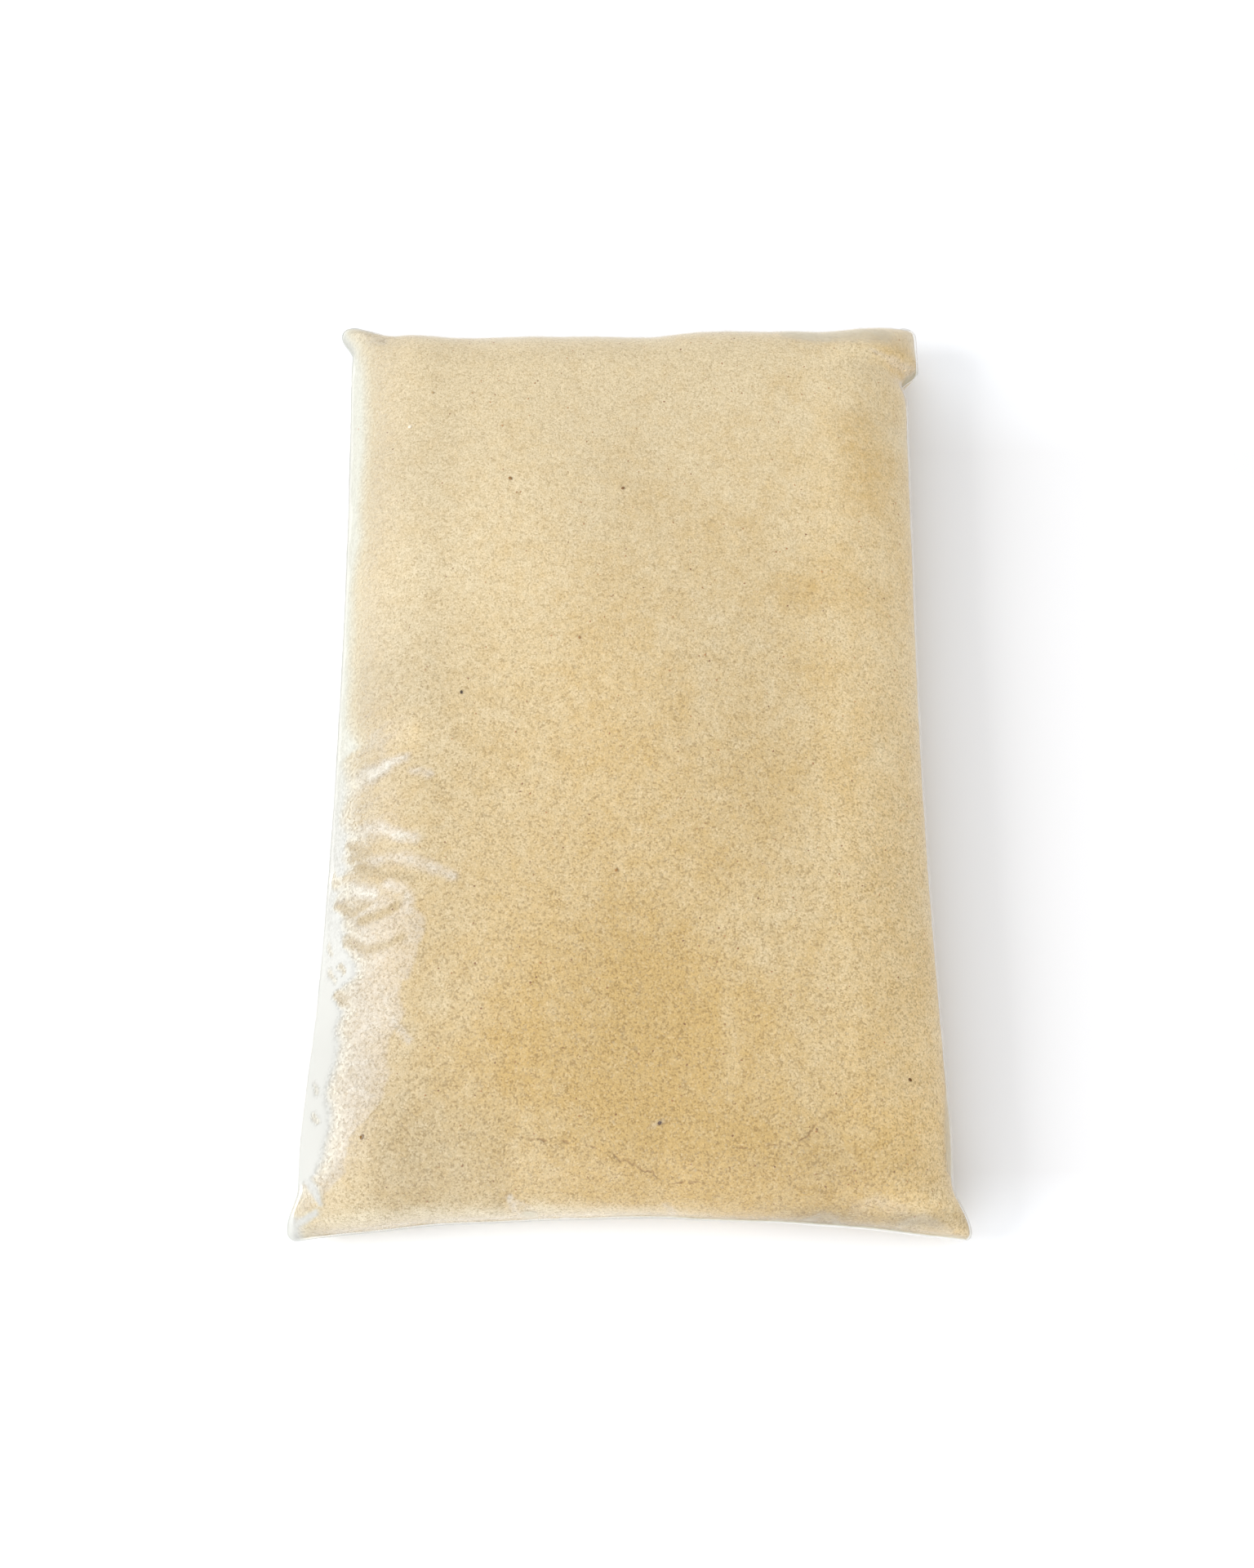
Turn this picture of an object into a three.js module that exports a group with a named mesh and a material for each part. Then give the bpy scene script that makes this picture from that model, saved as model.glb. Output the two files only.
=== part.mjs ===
// Bag of almond flour: a clear film bag, filled, sealed flat across both ends and lying on its back.
// Millimetres, +Z up, +X across the bag, +Y towards its far end. The origin is under the middle of the bag,
// on the surface that it lies on.
import * as THREE from 'three';

// Driving dimensions
const tipHalfWidth = 109; // middle of the bag to the tips of its corner ears, across
const tipHalfLength = 168; // middle of the bag to the tips of its corner ears, along
const midHalfWidth = 101.5; // middle of the bag to its side crease, at mid-length
const crownHeight = 41; // floor to the crown of the filled top, leaving out its unevenness
const shoulderHeight = 37; // floor to the filled top just inside its rounded shoulders
const creaseHeight = 13; // floor to the side creases and the end seals
const filmLip = 0.8; // the two layers of film where they meet with nothing between them

// Flat crease that stands out empty along each side
const sideLip = 3;
const sideLipDroop = 0.35; // fall per millimetre of its width

// How the rounded edges of the filled body fall to the creases and seals
const sideShoulder = 34; // reach of the upper rounding in from the sides
const endShoulder = 25; // reach of the upper rounding in from the ends
const underRounding = 17; // reach of the lower rounding in from every edge
const earDroop = 5; // fall of the near ears below the crease

// Outline: the sides bow in and the ends are hollow between the ears. Each end has a heat-sealed fin that
// stands out empty by its lip and rises by its slope per millimetre; hollow is the depth behind the ear tips,
// power how evenly that spreads across the end, wave the unevenness of the edge
const sideBow = 4; // extra half width that the sides gain towards the ends
const near = { lip: 3.5, slope: -0.9, hollow: 6.5, power: 1.9, wave: 0.15 };
const far = { lip: 3, slope: 0.3, hollow: 4.3, power: 4, wave: 0.5 };

// Corner ears: flare is the length of the side up to where it turns out to the tip, turn the length of that
// turn, notch the pinch in the side before it and round the radius of the tip
const ears = [
  { side: -1, end: -1, flare: 16, turn: 12, notch: 0.3, round: 3 },
  { side: 1, end: -1, flare: 17, turn: 15, notch: 1, round: 2.5 },
  { side: -1, end: 1, flare: 13, turn: 9, notch: 0.4, round: 3.5 },
  { side: 1, end: 1, flare: 27, turn: 8, notch: 2.2, round: 4.5 },
];

// Tucks gathered into the end seals and dents in the long sides: place along that edge, width and depth
// as a share of the height there
const endTucks = [
  { end: -1, place: -37, width: 5, depth: 0.2 },
  { end: -1, place: 11, width: 6, depth: 0.14 },
  { end: -1, place: 66, width: 9, depth: 0.16 },
  { end: -1, place: -88, width: 7, depth: 0.12 },
  { end: 1, place: -46, width: 8, depth: 0.12 },
  { end: 1, place: 30, width: 9, depth: 0.1 },
  { end: 1, place: 72, width: 8, depth: 0.16 },
];
const sideDents = [
  { side: -1, place: 22, width: 7, depth: 0.12 },
  { side: -1, place: -12, width: 8, depth: 0.14 },
  { side: -1, place: -46, width: 9, depth: 0.12 },
  { side: -1, place: -88, width: 8, depth: 0.1 },
  { side: 1, place: 118, width: 7, depth: 0.14 },
  { side: 1, place: 52, width: 10, depth: 0.08 },
  { side: 1, place: -52, width: 9, depth: 0.1 },
  { side: 1, place: -118, width: 8, depth: 0.12 },
];
const tuckReach = 16; // how far in from its edge a tuck or dent fades

// Steps of the surface grid
const columns = 42;
const rows = 62;
const crowding = 0.5; // share by which the steps close up towards the edges

const smooth = (t) => {
  const c = Math.min(1, Math.max(0, t));
  return c * c * (3 - 2 * c);
};

// Height of a quarter round of reach 1, at t in from its foot
const quarterRound = (t) => Math.sqrt(1 - (1 - Math.min(1, Math.max(0, t))) ** 2);

const hump = (distance, width) => Math.exp(-((distance / width) ** 2));

// Distance from the middle line to the edge of the film, for a side, a share along from -1 to 1 and the
// distance left to the end of the film
function sideEdge(side, along, fromTip) {
  const ear = ears.find((one) => one.side === side && one.end === Math.sign(along || 1));
  const plain = midHalfWidth + sideBow * along ** 2;
  const flare = smooth((ear.flare - fromTip) / ear.turn);
  const pinch = ear.notch * hump(fromTip - ear.flare, ear.turn / 1.5) * (1 - flare);
  const corner = ear.round * (1 - quarterRound(fromTip / ear.round));
  return plain + (tipHalfWidth - plain) * flare - pinch - corner;
}

// Distance from the middle line to the edge of the end fin, for an end and a share across from -1 to 1
function endEdge(end, across) {
  const { hollow, power, wave } = end < 0 ? near : far;
  const ripple = Math.sin(11 * across + 1.3) + 0.6 * Math.sin(19 * across);
  return tipHalfLength - hollow * (1 - Math.abs(across) ** power) - wave * ripple * (1 - across ** 8);
}

// Share by which the tucks and dents lower the top at x, y, given the distances in from side and end
function foldDepth(x, y, fromSide, fromEnd) {
  let depth = 0;
  for (const tuck of endTucks) {
    if (tuck.end * y < 0) continue;
    depth += tuck.depth * hump(x - tuck.place, tuck.width) * Math.exp(-fromEnd / tuckReach);
  }
  for (const dent of sideDents) {
    if (dent.side * x < 0) continue;
    depth += dent.depth * hump(y - dent.place, dent.width) * Math.exp(-fromSide / tuckReach);
  }
  return Math.min(depth, 0.5);
}

// Slow rise and fall of the filled top, where the flour lies unevenly
const unevenness = (across, along) =>
  0.7 * Math.sin(2.3 * Math.PI * across + 0.6) * Math.sin(1.7 * Math.PI * along + 1.9) +
  0.4 * Math.sin(4.1 * across + 5.3 * along);

// A grid line is a place across (or along) the filled body from -1 to 1; out is how far it lies out on the
// empty lip
function gridLines(steps, firstLip, lastLip) {
  const body = [];
  for (let i = 0; i <= steps; i++) {
    const even = (2 * i) / steps - 1;
    const crowded = Math.sin((Math.PI / 2) * even);
    body.push({ share: even + crowding * (crowded - even), out: 0 });
  }
  const first = [firstLip, firstLip / 2].map((out) => ({ share: -1, out }));
  const last = [lastLip / 2, lastLip].map((out) => ({ share: 1, out }));
  return [...first, ...body, ...last];
}

// One point of the film's upper (face 1) or under (face -1) layer
function filmPoint(column, row, face) {
  const side = Math.sign(column.share || 1);
  const end = Math.sign(row.share || 1);
  const across = column.share;
  const along = row.share;
  const fin = end < 0 ? near : far;
  const bodyHalfLength = endEdge(end, across) - fin.lip;
  const fromEnd = (1 - Math.abs(along)) * bodyHalfLength;
  const bodyHalfWidth = sideEdge(side, along, fromEnd + fin.lip - row.out) - sideLip;
  const fromSide = (1 - Math.abs(across)) * bodyHalfWidth;
  const x = across * bodyHalfWidth + side * column.out;
  const y = along * bodyHalfLength + end * row.out;

  const earShare = (Math.abs(across) * Math.abs(along)) ** 6;
  const crease =
    creaseHeight -
    (end < 0 ? earDroop * earShare : 0) -
    sideLipDroop * column.out +
    fin.slope * row.out * (1 - 0.6 * earShare);

  if (face > 0) {
    const crown =
      shoulderHeight +
      (crownHeight - shoulderHeight) * (1 - across ** 2) * (1 - along ** 2) +
      unevenness(across, along);
    const fullness = quarterRound(fromSide / sideShoulder) * quarterRound(fromEnd / endShoulder);
    const rise = (crown - crease) * fullness * (1 - foldDepth(x, y, fromSide, fromEnd));
    return [x, y, crease + filmLip / 2 + rise];
  }
  const fullness = quarterRound(fromSide / underRounding) * quarterRound(fromEnd / underRounding);
  return [x, y, (crease - filmLip / 2) * (1 - fullness)];
}

// The closed surface: an upper and an under grid, a band round their edge, and one flat face where it rests
function bagGeometry() {
  const across = gridLines(columns, sideLip, sideLip);
  const along = gridLines(rows, near.lip, far.lip);
  const positions = [];
  const indices = [];
  const corner = { 1: [], '-1': [] };
  for (const face of [1, -1]) {
    for (const column of across) {
      corner[face].push(
        along.map((row) => {
          positions.push(...filmPoint(column, row, face));
          return positions.length / 3 - 1;
        }),
      );
    }
  }

  const quad = (a, b, c, d) => indices.push(a, b, c, a, c, d);
  const height = (index) => positions[3 * index + 2];
  const top = corner[1];
  const under = corner[-1];
  const flat = (i, j) =>
    [under[i][j], under[i + 1][j], under[i + 1][j + 1], under[i][j + 1]].every((k) => height(k) < 1e-6);

  const lastColumn = across.length - 1;
  const lastRow = along.length - 1;
  let flatFrom = null;
  let flatTo = null;
  for (let i = 0; i < lastColumn; i++) {
    for (let j = 0; j < lastRow; j++) {
      quad(top[i][j], top[i + 1][j], top[i + 1][j + 1], top[i][j + 1]);
      if (flat(i, j)) {
        flatFrom ??= [i, j];
        flatTo = [i + 1, j + 1];
      } else {
        quad(under[i][j], under[i][j + 1], under[i + 1][j + 1], under[i + 1][j]);
      }
    }
  }
  addRestingFace(indices, positions, under, flatFrom, flatTo);

  const rim = [];
  for (let i = 0; i < lastColumn; i++) rim.push([i, 0]);
  for (let j = 0; j < lastRow; j++) rim.push([lastColumn, j]);
  for (let i = lastColumn; i > 0; i--) rim.push([i, lastRow]);
  for (let j = lastRow; j > 0; j--) rim.push([0, j]);
  rim.forEach(([i, j], n) => {
    const [k, l] = rim[(n + 1) % rim.length];
    quad(under[i][j], under[k][l], top[k][l], top[i][j]);
  });

  const geometry = new THREE.BufferGeometry();
  geometry.setAttribute('position', new THREE.Float32BufferAttribute(positions, 3));
  geometry.setIndex(indices);
  geometry.computeVertexNormals();
  return geometry;
}

// The flat part of the underside, a block of grid squares, as one face
function addRestingFace(indices, positions, under, from, to) {
  const loop = [];
  for (let i = from[0]; i < to[0]; i++) loop.push(under[i][from[1]]);
  for (let j = from[1]; j < to[1]; j++) loop.push(under[to[0]][j]);
  for (let i = to[0]; i > from[0]; i--) loop.push(under[i][to[1]]);
  for (let j = to[1]; j > from[1]; j--) loop.push(under[from[0]][j]);
  const contour = loop.map((k) => new THREE.Vector2(positions[3 * k], positions[3 * k + 1]));
  for (const [a, b, c] of THREE.ShapeUtils.triangulateShape(contour, [])) {
    indices.push(loop[a], loop[c], loop[b]);
  }
}

const bag = new THREE.Mesh(
  bagGeometry(),
  new THREE.MeshStandardMaterial({ color: 0xdcc192, roughness: 0.45, metalness: 0 }),
);
bag.name = 'flour_bag';

const part = new THREE.Group();
part.add(bag);

export default part;
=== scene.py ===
import math
from functools import partial

import bmesh
import bpy
import numpy as np
from mathutils import Matrix, Vector
from mathutils.bvhtree import BVHTree


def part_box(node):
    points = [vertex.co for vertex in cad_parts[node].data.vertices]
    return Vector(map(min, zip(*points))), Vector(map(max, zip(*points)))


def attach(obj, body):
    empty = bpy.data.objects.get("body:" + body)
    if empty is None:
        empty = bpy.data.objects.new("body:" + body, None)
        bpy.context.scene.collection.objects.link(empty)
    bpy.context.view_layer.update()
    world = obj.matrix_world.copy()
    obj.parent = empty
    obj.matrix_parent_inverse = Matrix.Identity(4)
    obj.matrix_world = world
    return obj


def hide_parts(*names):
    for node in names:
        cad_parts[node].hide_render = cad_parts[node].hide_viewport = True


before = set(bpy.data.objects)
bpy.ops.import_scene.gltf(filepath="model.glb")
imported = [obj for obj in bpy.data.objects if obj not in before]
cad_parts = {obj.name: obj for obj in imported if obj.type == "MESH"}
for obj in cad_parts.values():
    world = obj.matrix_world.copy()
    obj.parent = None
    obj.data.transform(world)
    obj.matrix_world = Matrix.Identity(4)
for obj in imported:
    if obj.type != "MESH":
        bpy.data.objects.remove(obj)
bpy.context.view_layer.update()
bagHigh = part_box("flour_bag")[1]
mm = 0.001  # the bag's form is worked out in millimetres, and meshes are in metres


def addObject(name, data):
    made = bpy.data.objects.new(name, data)
    bpy.context.scene.collection.objects.link(made)
    return made


# Camera: the photograph's own view of the bag
photoView = {
    "width": 1536,  # px
    "height": 1920,  # px
    "focal": 2101,  # px
    "elevation": 70.5,  # degrees above the floor
    "distance": 584,  # mm from the aim
    "aim": (-0.8, -18.1, 20.0),  # mm
    "sensor": 36,  # mm, along the height of the frame
}


def viewAxes():
    tilt = math.radians(photoView["elevation"])
    forward = np.array((0, math.cos(tilt), -math.sin(tilt)))
    up = np.array((0, math.sin(tilt), math.cos(tilt)))
    eye = np.array(photoView["aim"]) - photoView["distance"] * forward
    return eye, forward, up


def addCamera():
    data = bpy.data.cameras.new("camera")
    data.sensor_width = photoView["sensor"]
    data.lens = photoView["focal"] / photoView["height"] * photoView["sensor"]
    camera = addObject("camera", data)
    camera.location = viewAxes()[0] * mm
    camera.rotation_euler = (math.radians(90 - photoView["elevation"]), 0, 0)
    bpy.context.scene.camera = camera


addCamera()
print("camera set")


# Small curves that the forms are made of
def smoothStep(t):
    t = np.clip(t, 0, 1)
    return t * t * (3 - 2 * t)


# From 0 to 1 as the value goes up from the start, over a length
def rising(value, start, length):
    return smoothStep((value - start) / length)


# From 0 to 1 as it goes down from the start
def falling(value, start, length):
    return smoothStep((start - value) / length)


def quarterRound(t):
    return np.sqrt(1 - (1 - np.clip(t, 0, 1)) ** 2)


def hump(distance, width):
    return np.exp(-((distance / width) ** 2))


# Smooth noise from -1 to 1, with a knot every size millimetres
def softNoise(x, y, size, seed):
    knots = 512
    values = np.random.default_rng(seed).uniform(-1, 1, (knots, knots))
    u, v = x / size + knots / 2, y / size + knots / 2
    i, j = np.floor(u).astype(int), np.floor(v).astype(int)
    s, t = smoothStep(u - i), smoothStep(v - j)
    i, j = i % knots, j % knots
    nextI, nextJ = (i + 1) % knots, (j + 1) % knots
    low = values[i, j] * (1 - s) + values[nextI, j] * s
    high = values[i, nextJ] * (1 - s) + values[nextI, nextJ] * s
    return low * (1 - t) + high * t


# A base with layers of that noise on it, each by height, size and seed
def noisy(base, x, y, layers):
    return sum((height * softNoise(x, y, size, seed) for height, size, seed in layers), base)


# Distance from each x, y to a path of points, and how far along the path the nearest place is, from 0 to 1
def pathDistance(x, y, path):
    best = np.full(x.shape, np.inf)
    along = np.zeros(x.shape)
    last = len(path) - 1
    tiny = 1e-9  # keeps a stretch of no length from dividing by zero
    for n in range(last):
        (ax, ay), (bx, by) = path[n][:2], path[n + 1][:2]
        dx, dy = bx - ax, by - ay
        t = np.clip(((x - ax) * dx + (y - ay) * dy) / (dx * dx + dy * dy + tiny), 0, 1)
        d = np.hypot(x - ax - t * dx, y - ay - t * dy)
        along = np.where(d < best, (n + t) / last, along)
        best = np.minimum(best, d)
    return best, along


# The bag's form, in millimetres, as the solid that it stands for has it
bagForm = {
    "tipHalfWidth": bagHigh.x / mm,  # middle to the tips of the corner ears, across
    "tipHalfLength": bagHigh.y / mm,  # and along
    "midHalfWidth": 101.5,  # middle to the side crease, at mid-length
    "sideBow": 4.0,  # extra half width that the sides gain towards the ends
    "swells": [  # and where they stand out more: side, middle and length as shares, mm
        (1, 0.42, 0.4, 0.8), (-1, -0.82, 0.2, 1.8),
    ],
    "crownHeight": 41.0,
    "shoulderHeight": 37.0,
    "wave": {"height": 0.7, "across": (2.3, 0.6), "along": (1.7, 1.9)},  # half waves to each side, start
    "slantWave": (0.4, 4.1, 5.3),  # height and rates of a slanting one
    "creaseHeight": 13.0,
    "filmLip": 0.8,  # the two layers where they meet with nothing between them
    "sideLips": (0.5, 0.4),  # mm of empty crease, left and right
    "endLips": (0.3, 0.9),  # mm of empty seal, near and far
    "sideLipDroop": 0.35,
    "sideShoulder": 34.0,  # reach of the upper rounding in from the sides
    "endShoulder": 25.0,  # and from the ends
    "underRounding": 17.0,
    "earDroop": 5.0,
    "earPower": 6,  # how closely that keeps to the corners
    "earSlope": 0.6,  # share of an end's slope that is lost there
    "tuckReach": 12.0,
    "tuckShare": 0.45,  # of a tuck's depth that the film follows, as it bridges the rest
    "deepestFold": 0.5,  # share of the height
    "near": {"slope": -0.9, "hollow": (6.5, 6.5), "power": (1.9, 1.9), "wave": 0.15},
    "far": {"slope": 0.3, "hollow": (7.3, 5.1), "power": (11.0, 5.0), "wave": 0.5},
    "hollowTurn": (0.45, 0.5),  # share across where an end's right hollow turns into its left, and length
    "endRipples": [(1.0, 11, 1.3), (0.6, 19, 0.0)],  # height, rate and start of the waves along an end
    "rippleFade": 8,  # how closely they keep off the corners
    "farLeftEar": 0.21,  # share of the half width over which the far edge runs out to its left ear
    "ears": {  # by side and end
        (-1, -1): {"flare": 16, "turn": 12, "notch": 0.3, "round": 3.0},
        (1, -1): {"flare": 17, "turn": 15, "notch": 1.0, "round": 2.5},
        (-1, 1): {"flare": 13, "turn": 9, "notch": 0.4, "round": 3.5},
        (1, 1): {"flare": 27, "turn": 8, "notch": 2.2, "round": 4.5},
    },
    "notchTurn": 1.5,  # mm of an ear's turn for each mm of its notch
    "endTucks": [  # end, place across, width, depth as a share of the height
        (-1, -37, 5, 0.2), (-1, 11, 6, 0.14), (-1, 66, 9, 0.16), (-1, -88, 7, 0.12), (1, -46, 8, 0.12),
        (1, 30, 9, 0.1), (1, 72, 8, 0.16),
    ],
    "sideDents": [  # side, place along, width, depth as a share of the height
        (-1, 22, 7, 0.12), (-1, -12, 8, 0.14), (-1, -46, 9, 0.12), (-1, -88, 8, 0.1), (1, 118, 7, 0.14),
        (1, 52, 10, 0.08), (1, -52, 9, 0.1), (1, -118, 8, 0.12),
    ],
    "gridSamples": 6001,
    "edgeGrid": (1.2, 8),  # how much denser the grid lines are at the edges, and by which power
    "traceGrid": (60, 90),  # steps of the smooth top that pixels are traced on
}


# Grid lines from -1 to 1 over the filled body, closer towards the edges, then out on the lips
def gridLines(steps, lips=(0, 0), lipSteps=0):
    fine = np.linspace(-1, 1, bagForm["gridSamples"])
    closer, power = bagForm["edgeGrid"]
    density = 1 + closer * np.abs(fine) ** power
    measure = np.concatenate(([0], np.cumsum((density[1:] + density[:-1]) / 2)))
    body = np.interp(np.linspace(0, measure[-1], steps + 1), measure, fine)
    outward = np.linspace(1, 0, lipSteps, endpoint=False)
    share = np.concatenate((np.full(lipSteps, -1.0), body, np.full(lipSteps, 1.0)))
    out = np.concatenate((outward * lips[0], np.zeros(steps + 1), outward[::-1] * lips[1]))
    return share, out


# Where each pair of grid lines lies on the bag, and how far it is from the body's side and end
def bagPlaces(columns, rows):
    form = bagForm
    across, along = np.meshgrid(columns[0], rows[0], indexing="ij")
    sideOut, endOut = np.meshgrid(columns[1], rows[1], indexing="ij")
    side, end = np.where(across < 0, -1, 1), np.where(along < 0, -1, 1)
    sideLip = np.where(side < 0, *form["sideLips"])
    endLip = np.where(end < 0, *form["endLips"])

    def byEnd(key):
        return np.where(end < 0, form["near"][key], form["far"][key])

    def byEar(key):
        ear = {corner: values[key] for corner, values in form["ears"].items()}
        left = np.where(end < 0, ear[-1, -1], ear[-1, 1])
        right = np.where(end < 0, ear[1, -1], ear[1, 1])
        return np.where(side < 0, left, right)

    def leftToRight(key):
        left = np.where(end < 0, form["near"][key][0], form["far"][key][0])
        right = np.where(end < 0, form["near"][key][1], form["far"][key][1])
        return right + (left - right) * falling(across, *form["hollowTurn"])

    fromCorner = 1 - np.abs(across) ** leftToRight("power")
    farLeft = (end > 0) & (side < 0)
    fromCorner = np.where(farLeft, falling(np.abs(across), 1, form["farLeftEar"]), fromCorner)
    hollow = leftToRight("hollow") * fromCorner
    ripple = sum(height * np.sin(rate * across + start) for height, rate, start in form["endRipples"])
    wave = byEnd("wave") * ripple * (1 - across ** form["rippleFade"])
    endEdge = form["tipHalfLength"] - hollow - wave
    bodyHalfLength = endEdge - endLip
    fromEnd = (1 - np.abs(along)) * bodyHalfLength
    fromTip = fromEnd + endLip - endOut

    plain = form["midHalfWidth"] + form["sideBow"] * along**2
    for swollen, middle, length, swell in form["swells"]:
        plain = plain + np.where(side == swollen, swell * hump(along - middle, length), 0)
    flare = falling(fromTip, byEar("flare"), byEar("turn"))
    notch = hump(fromTip - byEar("flare"), byEar("turn") / form["notchTurn"])
    pinch = byEar("notch") * notch * (1 - flare)
    corner = byEar("round") * (1 - quarterRound(fromTip / byEar("round")))
    sideEdge = plain + (form["tipHalfWidth"] - plain) * flare - pinch - corner
    bodyHalfWidth = sideEdge - sideLip
    fromSide = (1 - np.abs(across)) * bodyHalfWidth

    earShare = (np.abs(across) * np.abs(along)) ** form["earPower"]
    crease = form["creaseHeight"] - np.where(end < 0, form["earDroop"] * earShare, 0)
    slope = byEnd("slope") * endOut * (1 - form["earSlope"] * earShare)
    crease = crease - form["sideLipDroop"] * sideOut + slope
    return {
        "across": across, "along": along, "side": side, "end": end, "fromSide": fromSide, "fromEnd": fromEnd,
        "x": across * bodyHalfWidth + side * sideOut, "y": along * bodyHalfLength + end * endOut,
        "halfWidth": bodyHalfWidth, "halfLength": bodyHalfLength, "crease": crease, "sideOut": sideOut,
        "out": np.maximum(sideOut / sideLip, endOut / endLip),  # share of the lip
    }


# From 0 at the edge of the filled body to 1 where the rounding in from its sides and ends is over
def fullness(place, sideReach, endReach):
    return quarterRound(place["fromSide"] / sideReach) * quarterRound(place["fromEnd"] / endReach)


# Share by which the tucks and dents lower the top
def foldDepth(place):
    form = bagForm
    depth = np.zeros(place["x"].shape)
    for end, middle, width, share in form["endTucks"]:
        fold = share * hump(place["x"] - middle, width) * np.exp(-place["fromEnd"] / form["tuckReach"])
        depth += np.where(place["end"] == end, form["tuckShare"] * fold, 0)
    for side, middle, width, share in form["sideDents"]:
        fold = share * hump(place["y"] - middle, width) * np.exp(-place["fromSide"] / form["tuckReach"])
        depth += np.where(place["side"] == side, fold, 0)
    return np.minimum(depth, form["deepestFold"])


def topHeight(place):
    form = bagForm
    across, along = place["across"], place["along"]
    wave = form["wave"]
    uneven = wave["height"] * np.sin(wave["across"][0] * math.pi * across + wave["across"][1])
    uneven = uneven * np.sin(wave["along"][0] * math.pi * along + wave["along"][1])
    slantHeight, slantAcross, slantAlong = form["slantWave"]
    uneven += slantHeight * np.sin(slantAcross * across + slantAlong * along)
    dome = (form["crownHeight"] - form["shoulderHeight"]) * (1 - across**2) * (1 - along**2)
    crown = form["shoulderHeight"] + dome + uneven
    full = fullness(place, form["sideShoulder"], form["endShoulder"])
    rise = (crown - place["crease"]) * full * (1 - foldDepth(place))
    return place["crease"] + form["filmLip"] / 2 + rise


def underHeight(place):
    full = fullness(place, bagForm["underRounding"], bagForm["underRounding"])
    return (place["crease"] - bagForm["filmLip"] / 2) * (1 - full)


def gridSquares(number):
    return np.stack((number[:-1, :-1], number[1:, :-1], number[1:, 1:], number[:-1, 1:]), -1)


def storeValues(mesh, name, values):
    layer = mesh.attributes.new(name, "FLOAT", "POINT")
    layer.data.foreach_set("value", values.astype(np.float32))


# A closed shell: an upper and an under grid, a band round their edge, and one flat face where the bag rests
def closedShell(name, place, top, under, values):
    columns, rows = top.shape
    count = columns * rows
    upper = np.arange(count).reshape(columns, rows)
    lower = upper + count
    faces = gridSquares(upper).reshape(-1, 4).tolist()

    flat = (place["fromSide"] >= bagForm["underRounding"]) & (place["fromEnd"] >= bagForm["underRounding"])
    flatColumns = np.where(flat[:, rows // 2])[0]
    flatRows = np.where(flat[columns // 2, :])[0]
    i0, i1, j0, j1 = flatColumns[1], flatColumns[-2], flatRows[1], flatRows[-2]
    ring = np.ones((columns - 1, rows - 1), bool)
    ring[i0:i1, j0:j1] = False
    faces += gridSquares(lower)[ring][:, [0, 3, 2, 1]].tolist()
    loop = [lower[i0, j] for j in range(j0, j1)] + [lower[i, j1] for i in range(i0, i1)]
    loop += [lower[i1, j] for j in range(j1, j0, -1)] + [lower[i, j0] for i in range(i1, i0, -1)]
    faces.append([int(k) for k in loop])

    rim = [(i, 0) for i in range(columns - 1)] + [(columns - 1, j) for j in range(rows - 1)]
    rim += [(i, rows - 1) for i in range(columns - 1, 0, -1)] + [(0, j) for j in range(rows - 1, 0, -1)]
    for here, there in zip(rim, rim[1:] + rim[:1]):
        faces.append([int(k) for k in (lower[here], lower[there], upper[there], upper[here])])

    used = np.zeros(2 * count, bool)
    used[[k for face in faces for k in face]] = True
    points = np.stack((np.tile(place["x"].ravel(), 2), np.tile(place["y"].ravel(), 2),
                       np.concatenate((top.ravel(), under.ravel()))), 1) * mm
    renumber = (np.cumsum(used) - 1).tolist()
    mesh = bpy.data.meshes.new(name)
    mesh.from_pydata(points[used].tolist(), [], [[renumber[k] for k in face] for face in faces])
    for key, both in values.items():
        storeValues(mesh, key, np.concatenate([half.ravel() for half in both])[used])
    mesh.polygons.foreach_set("use_smooth", [True] * len(mesh.polygons))
    mesh.update()
    return addObject(name, mesh)


# Pixels of the photograph, as places on the bag's smooth top
def smoothTop():
    columns, rows = bagForm["traceGrid"]
    place = bagPlaces(gridLines(columns), gridLines(rows))
    points = np.stack((place["x"], place["y"], topHeight(place)), -1)
    number = np.arange(points.shape[0] * points.shape[1]).reshape(points.shape[:2])
    return BVHTree.FromPolygons(points.reshape(-1, 3).tolist(), gridSquares(number).reshape(-1, 4).tolist())


bagTop = smoothTop()


def onBag(pixels):
    eye, forward, up = viewAxes()
    places = []
    for px, py in pixels:
        ray = forward * photoView["focal"] + up * (photoView["height"] / 2 - py)
        ray = ray + np.array((px - photoView["width"] / 2, 0, 0))
        hit = bagTop.ray_cast(eye.tolist(), ray.tolist())[0]
        if hit is None:  # just past the edge of the filled top
            hit = eye + ray * (bagForm["creaseHeight"] - eye[2]) / ray[2]
        places.append(tuple(hit))
    return places


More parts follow.
